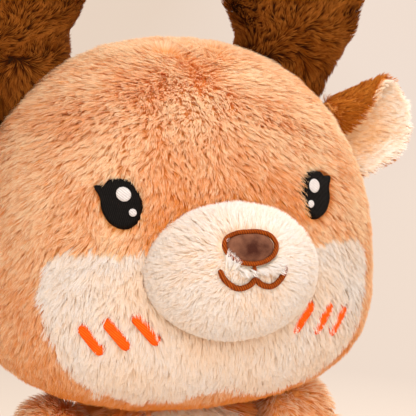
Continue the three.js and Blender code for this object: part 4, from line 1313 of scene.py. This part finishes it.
def build_limbs():
    for label, side in SIDES:
        for kind, first_seed in (("arm", 61), ("leg", 65)):
            body, limb, seed = f"{kind}_{label}", LIMBS[kind], first_seed + (side > 0)
            form = limb_form(label, side, kind, LIMB_PILE)
            _, along, _ = limb_axes(side, kind)
            origin = limb_joint(label, kind)
            hoof_start = limb["length"] - limb["hoof"]
            middle = middles(form)
            reach = (middle - origin) @ along
            hoof = reach > hoof_start
            nodes = [f"{body}_skin", f"{body}_stuffing"]
            skin_piece(f"{body}_cloth", form, ~hoof, brown_backing, body, nodes)
            skin_piece(f"{body}_hoof_cloth", form, hoof, dark_backing, body, [f"{body}_hoof"])
            bare = (reach < -0.9 * limb["root"]) | (middle[:, 2] < FLOOR_BARE)
            bare |= torso_level(middle, PILE) < 1
            place, normal = roots_on(form, 1.6, seed, ~bare)
            # Paler on the shoulders as painted light, and longer there; shorter near the floor
            flow = along - 0.25 * np.array((0, 0, 1))
            shoulder = fade(place[:, 2], 118, 20)
            look = {"length": 7, "width": 0.5, "per_lock": 6, "per_tuft": 80, "tone": 0.6 + 0.35 * shoulder}
            shares = fade(place[:, 2], FLOOR_BARE, 12, 0.3) + 0.4 * shoulder
            grown_strands = strands(place, normal, flow, look, seed, under_floor, shares)
            dark = (grown_strands[0][:, -1] - origin) @ along > hoof_start
            kinds = (f"{body}_pile", brown_pile), (f"{body}_hoof_pile", dark_pile)
            split_pile(grown_strands, dark, body, *kinds)


def build_tail():
    rise = np.array((0, math.cos(TAIL_RISE), math.sin(TAIL_RISE)))
    climb = (TORSO_WIDEST - TAIL_HEIGHT) / TORSO_WIDEST
    back = TORSO_HALF_DEPTH * (1 - climb**TORSO_BASE_ROUND) ** (1 / TORSO_BASE_ROUND)
    start = np.array((0, back, TAIL_HEIGHT))
    end = start + rise * (TAIL_LENGTH - TAIL_RADIUS)
    verts, tris = capsule(start, end, TAIL_ROOT_RADIUS - SHORT_PILE, TAIL_RADIUS - SHORT_PILE, 32, 10)
    form = form_of(verts + SHIFT, tris)
    skin_piece("tail_cloth", form, None, brown_backing, "torso", ["tail"])
    place, normal = roots_on(form, 1.4, 91)
    look = {"length": 7.5, "width": 0.7, "per_lock": 7, "per_tuft": 60}
    pile_piece("tail_pile", strands(place, normal, rise, look, 91), brown_pile, "torso")


# Stage, light and camera


def background_share(tree):
    """1 for what the camera sees straight, in a gloss or through glass, and 0 for the light of the scene."""
    path = add_node(tree, "LightPath")
    seen = path.outputs["Is Camera Ray"]
    for kind in ("Is Glossy Ray", "Is Transmission Ray"):
        seen = worked_out(tree, "MAXIMUM", seen, path.outputs[kind])
    return seen


def build_stage():
    """Pale paper: plain near and far where the camera sees it, with the object's shadow kept close by."""
    bpy.ops.mesh.primitive_plane_add(size=60)
    floor = bpy.context.object
    floor.name = "floor"
    material, tree, shader = fresh_material("floor_paper", 0.9, 0.1)
    feed(tree, shader, {"Base Color": (0.80, 0.68, 0.57, 1)})
    place = add_node(tree, "NewGeometry").outputs["Position"]
    # Painted light: the paper the camera sees is paler towards the camera's right
    rightward = (math.cos(CAMERA_AZIMUTH), math.sin(CAMERA_AZIMUTH), 0)
    across = add_node(tree, "VectorMath", {0: place, 1: rightward}, operation="DOT_PRODUCT")
    painted_light = ranged(tree, across.outputs["Value"], -0.3, 0.5)
    color = mixed(tree, painted_light, (0.815, 0.66, 0.54), (0.885, 0.74, 0.64))
    paper = add_node(tree, "Emission", {"Color": color})
    far = add_node(tree, "VectorMath", {0: place}, operation="LENGTH")
    plainness = ranged(tree, far.outputs["Value"], 0.25, 0.5, 0.5, 0.97)
    share = worked_out(tree, "MULTIPLY", background_share(tree), plainness)
    blended(tree, share, shader.outputs["BSDF"], paper.outputs["Emission"], "Material Output")
    floor.data.materials.append(material)


# Each light's name, place, the height it aims at, its size, its watts and its colour, in metres
LIGHTS = (
    ("key", (-0.5, -1.7, 1.2), 0.22, 1.4, 24, (1.0, 0.97, 0.93)),
    ("top", (0.4, -0.3, 1.9), 0.22, 1.4, 18, (1.0, 0.97, 0.94)),
    ("low", (-0.5, -1.5, 0.12), 0.12, 1.2, 8, (1.0, 0.96, 0.93)),
    ("rim", (1.2, 1.0, 1.0), 0.22, 1.0, 20, (1.0, 0.97, 0.94)),
)


def build_lights():
    for name, place, height, size, watts, color in LIGHTS:
        lamp = bpy.data.lights.new(name, "AREA")
        lamp.shape = "DISK"
        lamp.size = size
        lamp.energy = watts
        lamp.color = color
        thing = bpy.data.objects.new(name, lamp)
        thing.location = place
        ray = Vector((0, 0, height)) - Vector(place)
        thing.rotation_euler = ray.to_track_quat("-Z", "Y").to_euler()
        bpy.context.scene.collection.objects.link(thing)
    world = bpy.data.worlds.new("studio")
    bpy.context.scene.world = world
    world.use_nodes = True
    tree = world.node_tree
    sky = tree.nodes["Background"]
    feed(tree, sky, {"Color": (1.0, 0.95, 0.90, 1), "Strength": 0.75})
    paper = add_node(tree, "Background", {"Color": (0.85, 0.71, 0.60, 1)})
    both = sky.outputs["Background"], paper.outputs["Background"]
    blended(tree, background_share(tree), *both, "World Output")


def build_camera():
    lens = bpy.data.cameras.new("camera")
    lens.sensor_fit = "HORIZONTAL"
    lens.angle = CAMERA_FOV
    lens.clip_start = 0.05
    lens.clip_end = 100
    camera = bpy.data.objects.new("camera", lens)
    bpy.context.scene.collection.objects.link(camera)
    a, e, r = CAMERA_AZIMUTH, CAMERA_ELEVATION, CAMERA_ROLL
    back = Vector((math.sin(a) * math.cos(e), -math.cos(a) * math.cos(e), math.sin(e)))
    right = Vector((math.cos(a), math.sin(a), 0))
    up = back.cross(right)
    across = right * math.cos(r) + up * math.sin(r)
    above = up * math.cos(r) - right * math.sin(r)
    turn = Matrix((across, above, back)).transposed().to_4x4()
    place = Vector((np.array(CAMERA_PLACE) + HEAD) * MM)
    camera.matrix_world = Matrix.Translation(place) @ turn
    bpy.context.scene.camera = camera


for build in (
    build_camera, build_lights, build_stage, build_head, build_muzzle, build_nose, build_mouth, build_eyes,
    build_strokes, build_antlers, build_ears, build_torso, build_limbs, build_tail,
):
    build()

bpy.context.scene.view_settings.view_transform = "Standard"
bpy.context.view_layer.update()
